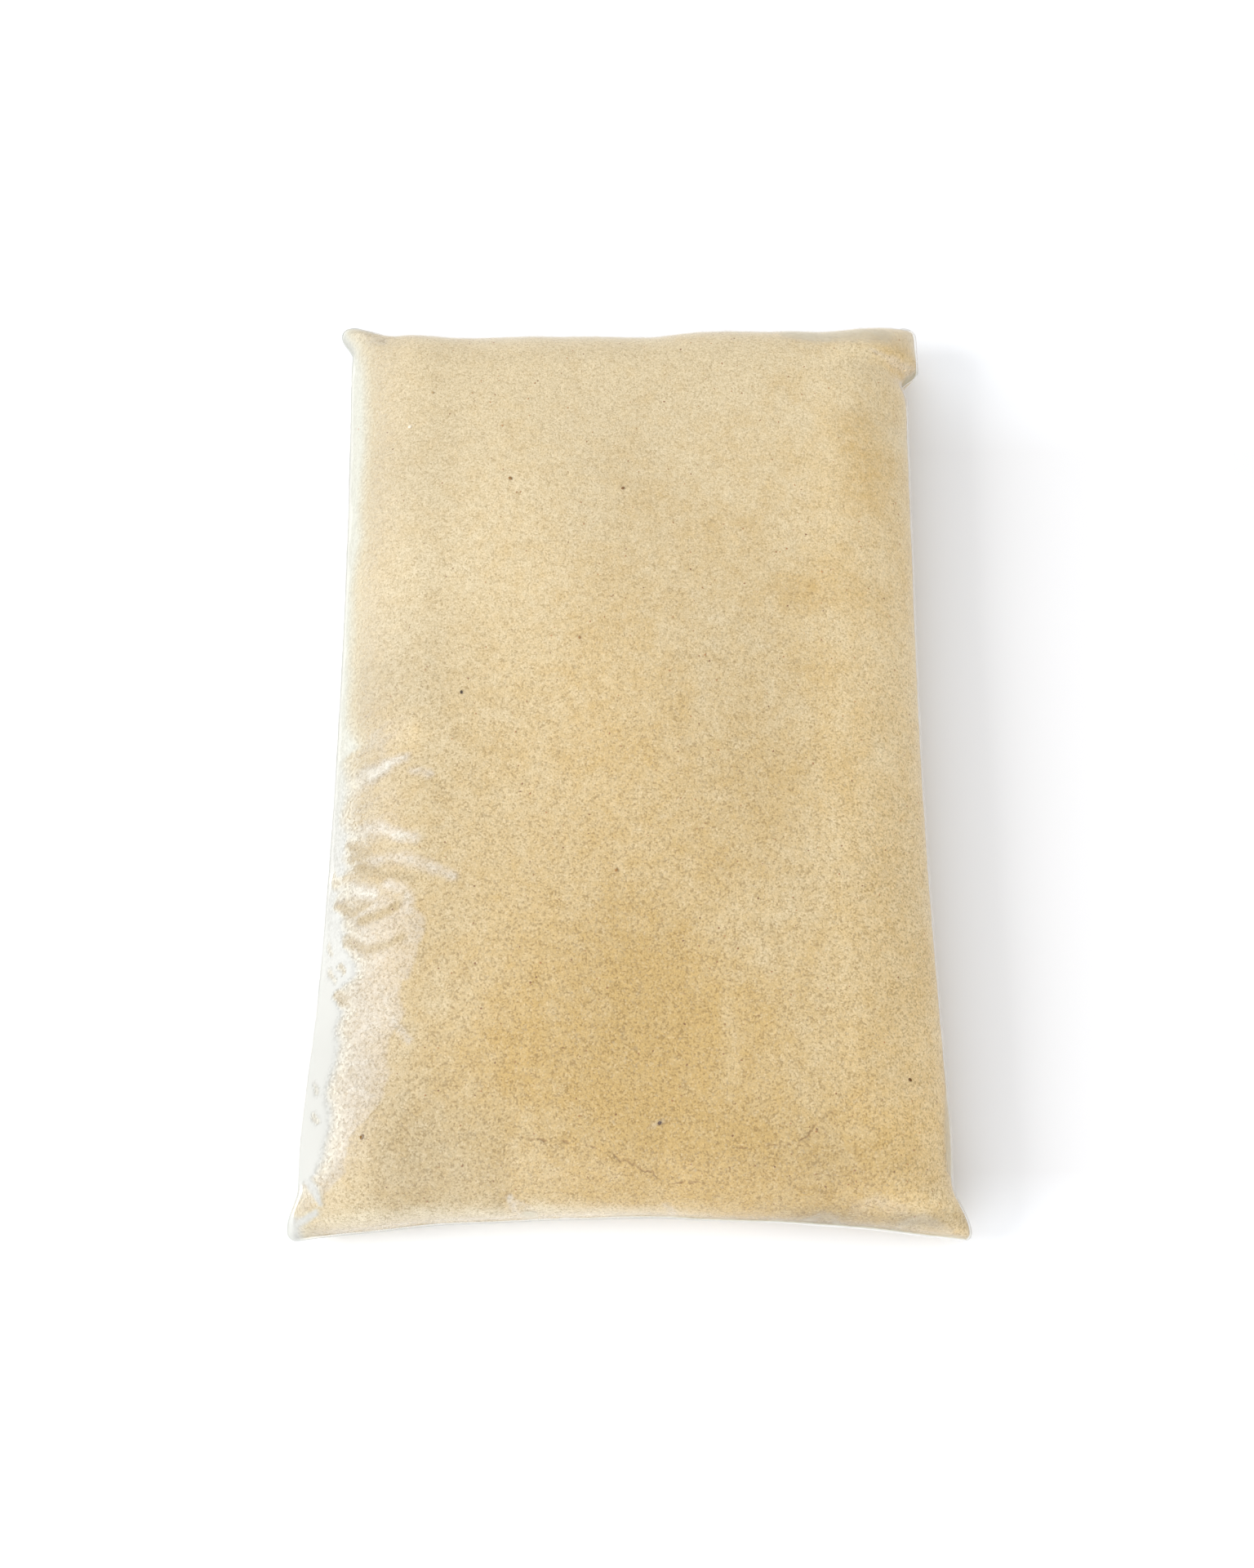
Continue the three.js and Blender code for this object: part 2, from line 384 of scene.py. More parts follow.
# Film: clear, drawn tight over the flour and lifted off it in a few places, with painted sheen where it is
# lifted and painted glare along the left crease
filmPiece = {
    "columns": 190,
    "rows": 340,
    "lipSteps": 3,
    "lipWander": 0.4,  # share by which the width of the empty crease varies
    "lipNoise": [(1.0, 6.0, 45), (0.6, 2.2, 46)],  # layers of noise by height, size in mm and seed
    "lipStart": (12, 15),  # mm from the end where that starts, and over which it grows
    "liftHeight": 0.05,  # mm
    "gather": 0.5,  # mm, height of the small folds run in from the sealed ends
    "gatherReach": 13.0,  # mm
    "gatherNoise": [(1.0, 0.15, 5.0, 41), (0.6, 0.2, 2.6, 42)],  # height, squeeze along, size in mm and seed
    "gatherLowest": -0.4,
    "sheenLifts": [  # strokes of painted highlight where the film is lifted: pixels of the photograph, width at start and end in mm, strength
        ([(426, 966), (448, 950), (472, 937)], (5.4, 3.4), 1.0),
        ([(472, 937), (497, 926)], (3.0, 2.0), 0.75),
        ([(503, 942), (525, 946)], (1.8, 1.8), 0.6),
        ([(430, 1024), (446, 1017), (464, 1013), (484, 1021), (506, 1025)], (3.4, 2.6), 0.7),
        ([(482, 1021), (500, 1025)], (2.6, 2.0), 0.85),
        ([(456, 1054), (478, 1050), (500, 1052)], (2.4, 3.3), 0.62),
        ([(500, 1052), (524, 1060), (555, 1072)], (3.3, 2.0), 0.68),
        ([(410, 1097), (436, 1090), (456, 1094)], (4.0, 3.0), 1.0),
        ([(474, 1083), (492, 1087), (499, 1098), (500, 1115)], (2.8, 2.4), 0.65),
        ([(420, 1132), (446, 1140), (470, 1138)], (1.8, 1.2), 0.55),
        ([(472, 1236), (484, 1254), (500, 1273)], (1.8, 1.5), 0.68),
        ([(388, 1398), (402, 1425), (396, 1445)], (4.5, 4.0), 0.68),
        ([(1068, 428), (1092, 445), (1119, 465)], (0.8, 1.6), 0.45),
        ([(432, 408), (470, 418)], (4.0, 2.5), 0.4),
        ([(623, 1466), (628, 1478), (634, 1488)], (1.2, 1.8), 0.7),
        ([(630, 1472), (655, 1483)], (0.9, 0.6), 0.5),
        ([(815, 1476), (824, 1486)], (1.0, 1.4), 0.5),
        ([(797, 1382), (806, 1377), (812, 1372)], (0.8, 0.8), 0.3),
        ([(1050, 1480), (1075, 1472), (1105, 1482)], (2.5, 2.5), 0.2),
    ],
    "glareFacets": [  # the same, for the painted glare on the facets of the near left ear
        ([(374, 1442), (385, 1458)], (3.2, 3.2), 0.95),
        ([(385, 1458), (392, 1474)], (3.2, 1.6), 0.95),
        ([(386, 1484), (372, 1495), (357, 1506)], (2.0, 3.2), 0.9),
    ],
    "glareEdge": [  # inner edge of the band of painted glare along the left crease
        (424, 402), (429, 412), (436, 424), (443, 440), (447, 470), (448, 520), (446, 560), (442, 600),
        (440, 640), (442, 658), (437, 682), (431, 720), (431, 760), (429, 800), (428, 840), (426, 870),
        (426, 888), (434, 904), (438, 916), (428, 924), (421, 932), (425, 950), (425, 970), (421, 990),
        (419, 1005), (425, 1020), (430, 1030), (424, 1042), (421, 1052), (427, 1062), (424, 1070),
        (409, 1080), (416, 1090), (413, 1105), (420, 1120), (415, 1134), (417, 1142), (426, 1155),
        (421, 1170), (430, 1182), (428, 1196), (412, 1210), (408, 1224), (411, 1240), (403, 1262),
        (406, 1282), (404, 1302), (396, 1322), (391, 1340), (396, 1360), (396, 1380), (391, 1400),
        (387, 1420), (378, 1440), (360, 1455),
    ],
    "looseEdge": [  # inner edge of the loose film, with its painted sheen, along the near half of the left shoulder
        (470, 1085), (492, 1100), (524, 1121), (523, 1139), (513, 1159), (510, 1179), (505, 1198),
        (492, 1201), (489, 1219), (496, 1240), (480, 1266), (474, 1296), (480, 1315), (471, 1342),
        (454, 1367), (429, 1390), (426, 1407), (424, 1437), (407, 1454), (387, 1474), (359, 1508),
    ],
    "touches": [  # places in these two where the flour reaches the film
        ([(416, 1106), (430, 1120), (456, 1102)], (2.4, 1.4), 0.85),
        ([(442, 1128), (468, 1119), (491, 1105)], (2.1, 1.6), 1.0),
        ([(426, 1153), (448, 1164), (472, 1158), (494, 1145)], (2.4, 1.3), 0.8),
        ([(413, 1219), (422, 1227)], (2.0, 2.0), 0.7),
        ([(428, 1034), (450, 1046), (430, 1052)], (1.8, 1.6), 0.7),
        ([(440, 1062), (470, 1069), (502, 1074)], (2.0, 1.5), 0.95),
        ([(407, 1076), (414, 1084)], (2.2, 2.0), 0.4),
        ([(402, 1158), (408, 1169)], (1.2, 1.0), 0.35),
        ([(403, 1190), (410, 1202)], (1.3, 1.1), 0.4),
        ([(415, 1184), (421, 1191)], (1.3, 1.1), 0.5),
        ([(386, 1328), (387, 1340)], (1.2, 1.0), 0.3),
        ([(383, 1366), (389, 1374)], (1.4, 1.2), 0.35),
        ([(362, 1480), (374, 1478)], (3.0, 2.2), 0.45),
    ],
    "slack": [  # where two layers lie together inside the near, far and right edges
        ([(984, 1497), (1010, 1487), (1025, 1495)], (1.0, 1.0), 0.4),
        ([(1101, 1500), (1131, 1491), (1160, 1511)], (1.2, 1.8), 0.35),
        ([(642, 1487), (655, 1488)], (0.9, 0.7), 0.8),
        ([(968, 409), (1000, 412), (1040, 410), (1080, 409)], (4.5, 6.0), 0.6),
        ([(1157, 1285), (1160, 1330), (1161, 1380), (1164, 1432)], (1.4, 2.2), 0.62),
    ],
    "strokeReach": 1.3,  # mm that these strokes reach for each mm of width
    "softness": {"sheenLifts": 1.2, "glareFacets": 1.3, "touches": 0.9, "slack": 0.9},  # fade for each mm of width
    "shake": {"sheenLifts": 0.5, "glareFacets": 0.2, "touches": 0.6},  # mm by which they are ragged
    "ragged": [(0.9, 1.7, 31), (0.9, 4.0, 32)],
    "strokeNoise": [(0.2, 2.2, 36)],
    "strokeRest": 0.9,  # share of a stroke's strength that the noise is added to
    "wrinkles": {  # fine ones on the left shoulder, which lift the film a little and take its painted sheen
        "turn": 25.0,  # degrees that they slant
        "size": 6.0,  # mm
        "seed": 33,
        "stretch": 0.4,  # the less, the longer they are
        "sharpness": 6,
        "liftAndSheen": 0.3,
        "onLoose": 0.75,  # share of the loose film's lift that is added
        "leftOf": (-68, 16),  # mm where they start, and over which they grow
        "nearerThan": (18, 25),
        "fartherThan": (-150, 25),
    },
    "looseLift": 0.46,
    "looseShake": 0.6,  # mm by which the edge of the loose film is ragged
    "looseSoft": 1.4,  # mm over which it fades
    "looseFarFade": 8,  # mm
    "looseNoise": [(0.17, 3.2, 34), (0.17, 8.0, 35)],
    "nearHalf": (-50, 50),  # mm along where the far values start to give way to the near ones, and over which
    "glareCover": (0.84, 1.0),  # of the band of painted glare, far and near
    "glareReach": (7.0, 6.2),  # mm over which it fades
    "glareFall": 1.3,  # how steeply
    "glareShake": 0.35,  # mm by which its edge is ragged
    "farInset": 2.2,  # mm that the band is narrower on the far half
    "fadeLift": (0.05, 0.4),  # film just off the flour beside it
    "fadeReach": (3.6, 6.0),  # mm
    "fadeStart": (3, 8),  # mm from the end
    "nearHaze": 0.45,  # pale haze along the near seal, left of the middle
    "nearHazeReach": 1.3,  # mm
    "nearHazeEnd": (20.0, 30),  # mm right of the middle, and over which it fades
    "nearHazeRest": 0.1,  # share left beyond that
    "nearHazeClear": (40, 0.75),  # mm over which it takes the place of the closed film, and how much
    "dustAlong": (10, 55),  # mm where dust on the band starts, and over which it grows
    "dustEnd": (6, 10),  # the same, from the end
    "steepShade": 0.24,  # share by which its pale parts are darker on the steep left side
    "steepReach": (8.0, 34.0),  # mm from the left crease
    "clearReach": {"left": 0.8, "right": 0.9, "near": 0.7, "far": 3.0},  # mm, greyer along each edge
    "sideClearNoise": [(0.5, 9.0, 43)],
    "endClearNoise": [(0.6, 11.0, 44)],
    "creaseReach": 1.6,  # mm over which the band of painted glare is greyer towards the left crease, a painted shade
}


# The strongest of the piece's strokes of one kind, at each place
def strongest(kind, x, y):
    most = np.zeros(x.shape)
    for pixels, width, strength in filmPiece[kind]:
        near, along = pathDistance(x, y, onBag(pixels))
        reach = width[0] + (width[1] - width[0]) * along
        mask = smoothStep((filmPiece["strokeReach"] * reach - near) / (filmPiece["softness"][kind] * reach))
        most = np.maximum(most, strength * mask)
    return most


def edgeAlong(y, pixels):
    edge = np.array(onBag(pixels))
    order = np.argsort(edge[:, 1])
    return np.interp(y, edge[order, 1], edge[order, 0])


def fineWrinkles(x, y):
    wrinkles = filmPiece["wrinkles"]
    turn = math.radians(wrinkles["turn"])
    u, v = x * math.cos(turn) + y * math.sin(turn), y * math.cos(turn) - x * math.sin(turn)
    ridge = 1 - np.abs(softNoise(wrinkles["stretch"] * u, v, wrinkles["size"], wrinkles["seed"]))
    zone = falling(x, *wrinkles["leftOf"]) * falling(y, *wrinkles["nearerThan"])
    return ridge ** wrinkles["sharpness"] * (zone * rising(y, *wrinkles["fartherThan"]))


# From 1 on the steep left side to 0 where the top is gentle
def leftSteep(place, reach):
    steepest, gentlest = reach
    return np.where(place["side"] < 0, falling(place["fromSide"], gentlest, gentlest - steepest), 0)


# How far the film is off the flour, with its painted sheen, the painted glare along the left, where flour
# touches it and how dusty it is
def filmLiftAndGlare(place):
    piece = filmPiece
    x, y = place["x"], place["y"]
    ragged = noisy(0, x, y, piece["ragged"])
    nearer = falling(y, *piece["nearHalf"])
    left = place["side"] < 0

    def farToNear(key):
        far, near = piece[key]
        return far + (near - far) * nearer

    looseX = edgeAlong(y, piece["looseEdge"])
    inside = smoothStep((looseX - x + piece["looseShake"] * ragged) / piece["looseSoft"])
    farthest = max(point[1] for point in onBag(piece["looseEdge"]))
    inside = inside * falling(y, farthest, piece["looseFarFade"])
    patchy = noisy(1, x, y, piece["looseNoise"])
    liftAndSheen = piece["looseLift"] * inside * patchy
    wrinkled = piece["wrinkles"]["liftAndSheen"] * fineWrinkles(x, y) + piece["wrinkles"]["onLoose"] * liftAndSheen
    liftAndSheen = np.maximum(liftAndSheen, wrinkled)

    whiteX = edgeAlong(y, piece["glareEdge"]) + piece["glareShake"] * ragged
    whiteX = whiteX - piece["farInset"] * (1 - nearer)
    past = np.maximum(x - whiteX, 0)
    paintedGlare = farToNear("glareCover") * np.exp(-((past / farToNear("glareReach")) ** piece["glareFall"]))
    fade = farToNear("fadeLift") * np.exp(-past / farToNear("fadeReach"))
    fade = fade * rising(place["fromEnd"], *piece["fadeStart"])
    liftAndSheen = np.maximum(liftAndSheen, np.where(left, fade, 0))
    paintedGlare = np.where(left, paintedGlare, 0)

    shake = {kind: size * ragged for kind, size in piece["shake"].items()}
    touch = strongest("touches", x + shake["touches"], y)
    liftAndSheen, paintedGlare = liftAndSheen * (1 - touch), paintedGlare * (1 - touch)
    highlightStroke = strongest("sheenLifts", x + shake["sheenLifts"], y - shake["sheenLifts"])
    liftAndSheen = np.maximum(liftAndSheen, highlightStroke * noisy(piece["strokeRest"], x, y, piece["strokeNoise"]))
    paintedGlare = np.maximum(paintedGlare, strongest("glareFacets", x + shake["glareFacets"], y - shake["glareFacets"]))

    haze = piece["nearHaze"] * np.exp(-place["fromEnd"] / piece["nearHazeReach"])
    rest = piece["nearHazeRest"]
    haze = haze * (rest + (1 - rest) * falling(x, *piece["nearHazeEnd"])) * patchy
    liftAndSheen = np.maximum(liftAndSheen, np.where(place["end"] < 0, haze, 0))
    dust = falling(y, *piece["dustAlong"]) * rising(place["fromEnd"], *piece["dustEnd"])
    return {"liftAndSheen": np.clip(liftAndSheen, 0, 1), "paintedGlare": np.clip(paintedGlare, 0, 1), "touch": touch, "dust": dust}


# Where the two layers of film close on each other, from 0 to 1
def filmClosing(place):
    piece = filmPiece
    reach = piece["clearReach"]
    x, y = place["x"], place["y"]
    sideReach = np.where(place["side"] < 0, reach["left"], reach["right"])
    endReach = np.where(place["end"] < 0, reach["near"], reach["far"])
    sideReach = sideReach * noisy(1, 0 * y, y, piece["sideClearNoise"])
    endReach = endReach * noisy(1, x, 0 * x, piece["endClearNoise"])
    closing = smoothStep(1 - np.minimum(place["fromSide"] / sideReach, place["fromEnd"] / endReach))
    hazeFade, hazeShare = piece["nearHazeClear"]
    hazy = falling(x, piece["nearHazeEnd"][0], hazeFade)
    closing = closing * np.where(place["end"] < 0, 1 - hazeShare * hazy, 1)
    return np.maximum(closing, strongest("slack", x, y))


def makeFilm():
    piece = filmPiece
    columns = gridLines(piece["columns"], bagForm["sideLips"], piece["lipSteps"])
    rows = gridLines(piece["rows"], bagForm["endLips"], piece["lipSteps"])
    place = bagPlaces(columns, rows)
    x, y = place["x"], place["y"]
    looseAndSheen = filmLiftAndGlare(place)
    liftAndSheen, paintedGlare = looseAndSheen["liftAndSheen"], looseAndSheen["paintedGlare"]
    folds = sum(height * softNoise(x, squeeze * y, size, seed)
                for height, squeeze, size, seed in piece["gatherNoise"])
    folds = np.maximum(folds, piece["gatherLowest"]) * np.exp(-place["fromEnd"] / piece["gatherReach"])
    folds = folds * (1 - place["out"])
    top = topHeight(place) + piece["liftHeight"] * np.maximum(liftAndSheen, paintedGlare) + piece["gather"] * folds
    under = underHeight(place)
    rim = np.where(place["side"] < 0, place["out"] ** 2, np.sqrt(place["out"]))
    nothing = np.zeros(x.shape)
    values = {  # on the top and underneath
        "liftAndSheen": (liftAndSheen, nothing),
        "paintedGlare": (paintedGlare, nothing),
        "closed": (filmClosing(place), place["out"]),
        "rim": (rim, rim),
        "shade": (1 - piece["steepShade"] * leftSteep(place, piece["steepReach"]), 1 + nothing),
        "dust": (looseAndSheen["dust"], nothing),
        "crease": (np.exp(-place["fromSide"] / piece["creaseReach"]), nothing),
    }
    narrower = noisy(0, 0 * y, y, piece["lipNoise"])
    narrower = piece["lipWander"] * np.clip(0.5 + 0.5 * narrower, 0, 1)
    narrower = narrower * rising(place["fromEnd"], *piece["lipStart"])
    place["x"] = x - place["side"] * place["sideOut"] * narrower
    return closedShell("film", place, top, under, values)


film = makeFilm()
print("film made:", len(film.data.polygons), "faces")

# Flour: packed against the film, paler where it is dry and darker where it is pressed, with painted light and
# shade, and painted sheen under the loose film
flourPiece = {
    "columns": 198,
    "rows": 312,
    "gap": 0.3,  # mm under the film
    "inset": 0.2,  # mm that its relief is set in all over
    "underGap": 0.25,
    "rim": 0.15,  # mm, half thickness of its thin outer edge
    "closeReach": 2.0,  # mm over which its edge rounds off
    "margins": {  # mm that it stays back from the crease or seal: at least, and what noise adds
        "left": (0.3, 1.2), "right": (0.2, 0.15), "near": (0.0, 0.15), "far": (0.1, 0.6),
    },
    "marginNoise": {  # layers of noise by height, size in mm and seed
        "side": [(1.0, 7.0, 61), (0.7, 2.6, 62)], "end": [(1.0, 7.0, 63), (0.7, 2.6, 64)],
    },
    "marginShare": (0.35, 0.6),  # of the second, without noise and for each step of it
    "marginTop": 1.3,  # largest share
    "farLeftMargin": (8, 16),  # mm from the far end where the left margin starts, and over which it grows
    "lumpSize": 6.0,  # mm
    "lumpHeight": 0.22,
    "grainSize": 1.1,
    "grainHeight": 0.16,
    "cracks": [  # pixels of the photograph, width in mm, depth in mm
        ([(612, 1392), (640, 1391), (663, 1395), (694, 1397), (705, 1404), (728, 1405), (749, 1412),
          (763, 1420), (786, 1432), (799, 1435), (807, 1445), (826, 1451), (837, 1448), (857, 1447),
          (884, 1450)], 0.3, 0.42),
        ([(884, 1409), (912, 1405), (923, 1407), (938, 1402), (955, 1402), (979, 1400), (991, 1387),
          (1003, 1373), (1026, 1355), (1053, 1338)], 0.27, 0.4),
    ],
    "crackReach": 2.4,  # mm to each side of a crack where the surface is divided more finely
    "crackCuts": 3,
    "crackShakeX": [(0.35, 0.9, 51)],
    "crackShakeY": [(0.4, 0.8, 52), (0.5, 2.6, 53)],
    "crackBreaks": (0.8, [(1.1, 2.2, 54)]),  # share without noise, and its layers
    "crackWidths": (0.9, [(0.5, 2.0, 55)]),
    "crackEnds": (8, 0.15),  # how fast a crack opens from its ends, and from which share
    "pressedRest": 0.28,  # where no spot presses it
    "pressedNoise": [(0.12, 14.0, 71), (0.1, 6.0, 72)],
    "spotShake": [(0.9, 9.0, 73), (0.5, 3.5, 74)],
    "pressed": [  # pixel, reach in mm across and along, strength
        ((780, 1290), (42, 62), 0.7), ((760, 1100), (60, 80), 0.08), ((905, 1330), (22, 40), 0.22),
        ((1060, 1440), (46, 24), 0.44), ((1090, 1250), (24, 50), 0.28), ((840, 850), (60, 60), 0.14),
        ((1020, 722), (20, 8), 0.4), ((1062, 560), (12, 20), 0.35), ((1000, 825), (10, 10), 0.3),
        ((1105, 435), (9, 12), 0.5), ((620, 1290), (14, 18), 0.3), ((640, 900), (30, 40), 0.1),
        ((950, 950), (25, 18), 0.25), ((520, 1330), (12, 18), 0.18), ((560, 1130), (12, 16), 0.12),
        ((770, 900), (20, 16), 0.12), ((860, 1440), (60, 10), 0.1),
    ],
    "paintedLightSpots": [  # the same, for painted light and shade: above zero painted light, below zero painted shade
        ((500, 1430), (30, 32), -0.18), ((1080, 1440), (30, 12), -0.14), ((450, 860), (28, 30), -0.17),
        ((450, 700), (28, 50), -0.06), ((480, 560), (28, 30), -0.12), ((432, 1010), (14, 28), -0.12),
        ((480, 990), (22, 24), -0.05), ((434, 962), (5, 4), 0.12), ((432, 1170), (14, 45), -0.2),
        ((545, 1150), (14, 40), -0.08), ((436, 1318), (7, 12), -0.12), ((475, 800), (12, 18), -0.04),
        ((507, 897), (6, 5), 0.12), ((1110, 900), (24, 170), 0.32), ((1150, 1400), (16, 50), 0.2),
        ((1060, 620), (40, 60), 0.06), ((600, 850), (50, 70), 0.04), ((800, 1430), (90, 12), -0.05),
        ((410, 1498), (10, 2.4), 0.1), ((470, 1496), (16, 2.4), 0.08), ((560, 1490), (18, 2.4), 0.1),
        ((650, 1487), (18, 2.4), 0.06), ((750, 1486), (18, 2.2), 0.1), ((840, 1489), (12, 2.0), 0.04),
        ((920, 1491), (10, 1.6), -0.03), ((460, 440), (24, 18), -0.13), ((1130, 1499), (12, 3), -0.5),
        ((1060, 1494), (20, 3), -0.18), ((1000, 1495), (12, 3), -0.25), ((1165, 1498), (8, 6), -0.03),
        ((1165, 1465), (8, 9), 0.08), ((1115, 1400), (14, 14), 0.08), ((1160, 1300), (2.4, 9), -0.14),
        ((1163, 1400), (2.4, 9), -0.14), ((540, 421), (40, 6), 0.07), ((880, 415), (50, 6), 0.06),
        ((1095, 455), (10, 14), 0.12),
    ],
    "powdery": [  # the same, where fine powder lies on it
        ((420, 1497), (14, 2.4), 0.6), ((520, 1493), (20, 2.4), 0.6), ((620, 1488), (20, 2.4), 0.6),
        ((720, 1486), (20, 2.2), 0.55), ((820, 1488), (16, 2.0), 0.35), ((432, 408), (8, 8), 0.4),
        ((490, 740), (26, 50), 0.22),
    ],
    "dusty": [  # the same, where it is paler
        ((895, 1275), (4, 20), 0.35), ((1150, 1464), (14, 10), 0.35), ((700, 420), (120, 40), 0.36),
        ((560, 620), (50, 60), 0.18), ((900, 1140), (20, 14), 0.15),
    ],
    "looseFull": 0.65,  # lift of the film from which the flour under it lies loose and pale, partly painted sheen
    "strokeFrom": 0.48,  # and from which to which it turns whitish, a painted highlight
    "strokeFull": 0.9,
    "coarse": (0.7, 0.6),  # strength of its grain at the far end, and what it gains towards the near end
    "coarseAlong": (110, 230),  # mm where that starts, and over which it grows
    "looseCoarse": 0.8,  # what it gains where it is loose
    "strokePlain": 0.6,  # share by which a stroke takes that and the next away
    "looseShade": 0.23,  # share by which loose flour is darker on the steep left side
    "looseSteep": (12.0, 28.0),  # mm from the left crease
    "touchShade": 0.16,  # share by which it is darker where it touches the film there
    "edgePowder": 0.7,  # along the left crease
    "edgePowderReach": 6.0,  # mm
}


def softSpots(x, y, spots):
    total = np.zeros(x.shape)
    for pixel, (reachX, reachY), strength in spots:
        px, py, _ = onBag([pixel])[0]
        total += strength * np.exp(-((x - px) / reachX) ** 2 - ((y - py) / reachY) ** 2)
    return total


def flourCracks(x, y):
    piece = flourPiece
    shakenX, shakenY = noisy(x, x, y, piece["crackShakeX"]), noisy(y, x, y, piece["crackShakeY"])
    (rest, breaks), (plain, widths) = piece["crackBreaks"], piece["crackWidths"]
    broken, thickness = smoothStep(noisy(rest, x, y, breaks)), noisy(plain, x, y, widths)
    speed, start = piece["crackEnds"]
    crack, depth = np.zeros(x.shape), np.zeros(x.shape)
    for pixels, width, deep in piece["cracks"]:
        near, along = pathDistance(shakenX, shakenY, onBag(pixels))
        ends = smoothStep(speed * np.minimum(along, 1 - along) + start)
        line = hump(near, width * thickness) * (broken * ends)
        crack = np.maximum(crack, line)
        depth = np.maximum(depth, deep * line)
    return crack, depth


# The top is divided more finely along the cracks, which are then pressed into it
def addCracks(piece):
    mesh = bmesh.new()
    mesh.from_mesh(piece.data)
    middles = np.array([face.calc_center_median() for face in mesh.faces]) / mm
    close = np.zeros(len(middles), bool)
    for pixels, _, _ in flourPiece["cracks"]:
        close |= pathDistance(middles[:, 0], middles[:, 1], onBag(pixels))[0] < flourPiece["crackReach"]
    close &= middles[:, 2] > bagForm["creaseHeight"]
    edges = {edge for face, near in zip(mesh.faces, close) if near for edge in face.edges}
    bmesh.ops.subdivide_edges(mesh, edges=list(edges), cuts=flourPiece["crackCuts"], use_grid_fill=True)
    mesh.to_mesh(piece.data)
    mesh.free()

    places = np.empty(len(piece.data.vertices) * 3)
    piece.data.vertices.foreach_get("co", places)
    places = places.reshape(-1, 3)
    crack, depth = flourCracks(places[:, 0] / mm, places[:, 1] / mm)
    top = places[:, 2] / mm > bagForm["creaseHeight"]
    places[:, 2] -= np.where(top, depth, 0) * mm
    piece.data.vertices.foreach_set("co", places.ravel())
    storeValues(piece.data, "crack", np.where(top, crack, 0))
    piece.data.update()


def makeFlourCore():
    piece = flourPiece
    place = bagPlaces(gridLines(piece["columns"]), gridLines(piece["rows"]))

    def margin(first, second, where, noise):
        (firstLeast, firstMost), (secondLeast, secondMost) = piece["margins"][first], piece["margins"][second]
        least, most = np.where(where < 0, firstLeast, secondLeast), np.where(where < 0, firstMost, secondMost)
        rest, step = piece["marginShare"]
        wander = noisy(0, place["x"], place["y"], piece["marginNoise"][noise])
        return least + most * np.clip(rest + step * wander, 0, piece["marginTop"])

    sideMargin = margin("left", "right", place["side"], "side")
    farLeft = (place["end"] > 0) & (place["side"] < 0)
    sideMargin = sideMargin * np.where(farLeft, rising(place["fromEnd"], *piece["farLeftMargin"]), 1)
    endMargin = margin("near", "far", place["end"], "end")
    closing = fullness(place, piece["closeReach"], piece["closeReach"])
    place["x"] = place["x"] * (1 - sideMargin / place["halfWidth"])
    place["y"] = place["y"] * (1 - endMargin / place["halfLength"])
    place["fromSide"] = place["fromSide"] + np.abs(place["across"]) * sideMargin
    place["fromEnd"] = place["fromEnd"] + np.abs(place["along"]) * endMargin
    crease = place["crease"]
    top = crease + piece["rim"] + (topHeight(place) - piece["gap"] - piece["rim"] - crease) * closing
    under = crease - piece["rim"] - (crease - underHeight(place) - piece["rim"] - piece["underGap"]) * closing

    x, y = place["x"], place["y"]
    pressed = piece["pressedRest"] + softSpots(x, y, piece["pressed"]) - softSpots(x, y, piece["dusty"])
    pressed = np.clip(noisy(pressed, x, y, piece["pressedNoise"]), 0, 1)
    shaken = noisy(y, x, y, piece["spotShake"])
    above = filmLiftAndGlare(place)
    looseAndSheen = np.clip(above["liftAndSheen"] / piece["looseFull"], 0, 1)
    highlightStroke = (above["liftAndSheen"] - piece["strokeFrom"]) / (piece["strokeFull"] - piece["strokeFrom"])
    highlightStroke = np.clip(highlightStroke, 0, 1)
    plainer = 1 - piece["strokePlain"] * highlightStroke
    # painted light and shade from the spots, times a darkening where the flour touches the film, and painted
    # shade on loose flour on the steep left side
    paintedLightShade = (1 + softSpots(x, shaken, piece["paintedLightSpots"])) * (1 - piece["touchShade"] * above["touch"])
    paintedLightShade = paintedLightShade * (1 - piece["looseShade"] * (leftSteep(place, piece["looseSteep"]) * looseAndSheen * plainer))
    powder = np.exp(-place["fromSide"] / piece["edgePowderReach"])
    powder = np.where(place["side"] < 0, piece["edgePowder"] * powder, 0)
    powder = np.clip(powder + softSpots(x, shaken, piece["powdery"]), 0, 1) * (1 - above["touch"])
    farCoarse, nearGain = piece["coarse"]
    coarse = farCoarse + nearGain * falling(y, *piece["coarseAlong"]) + piece["looseCoarse"] * looseAndSheen * plainer
    nothing = np.zeros(x.shape)
    values = {  # on the top and underneath
        "pressed": (pressed, pressed), "paintedLightShade": (paintedLightShade, paintedLightShade), "coarse": (coarse, coarse),
        "powder": (powder, powder), "looseAndSheen": (looseAndSheen, nothing), "highlightStroke": (highlightStroke, nothing),
        "shown": (1 + nothing, nothing),
    }
    core = closedShell("flourCore", place, top, under, values)
    addCracks(core)
    return core


flourCore = makeFlourCore()
print("flour core made:", len(flourCore.data.polygons), "faces")


# Node helpers: a value is a number, a colour or another node's socket
def addNode(tree, kind, settings=None, **inputs):
    node = tree.nodes.new(kind)
    for key, value in (settings or {}).items():
        setattr(node, key, value)
    for key, value in inputs.items():
        feed(node.inputs[key.replace("_", " ")], value)
    return node


def feed(socket, value):
    if isinstance(value, bpy.types.NodeSocket):
        socket.id_data.links.new(value, socket)
    else:
        socket.default_value = value


# The tree that the sockets among these values belong to
def treeOf(*values):
    return next(value.id_data for value in values if isinstance(value, bpy.types.NodeSocket))


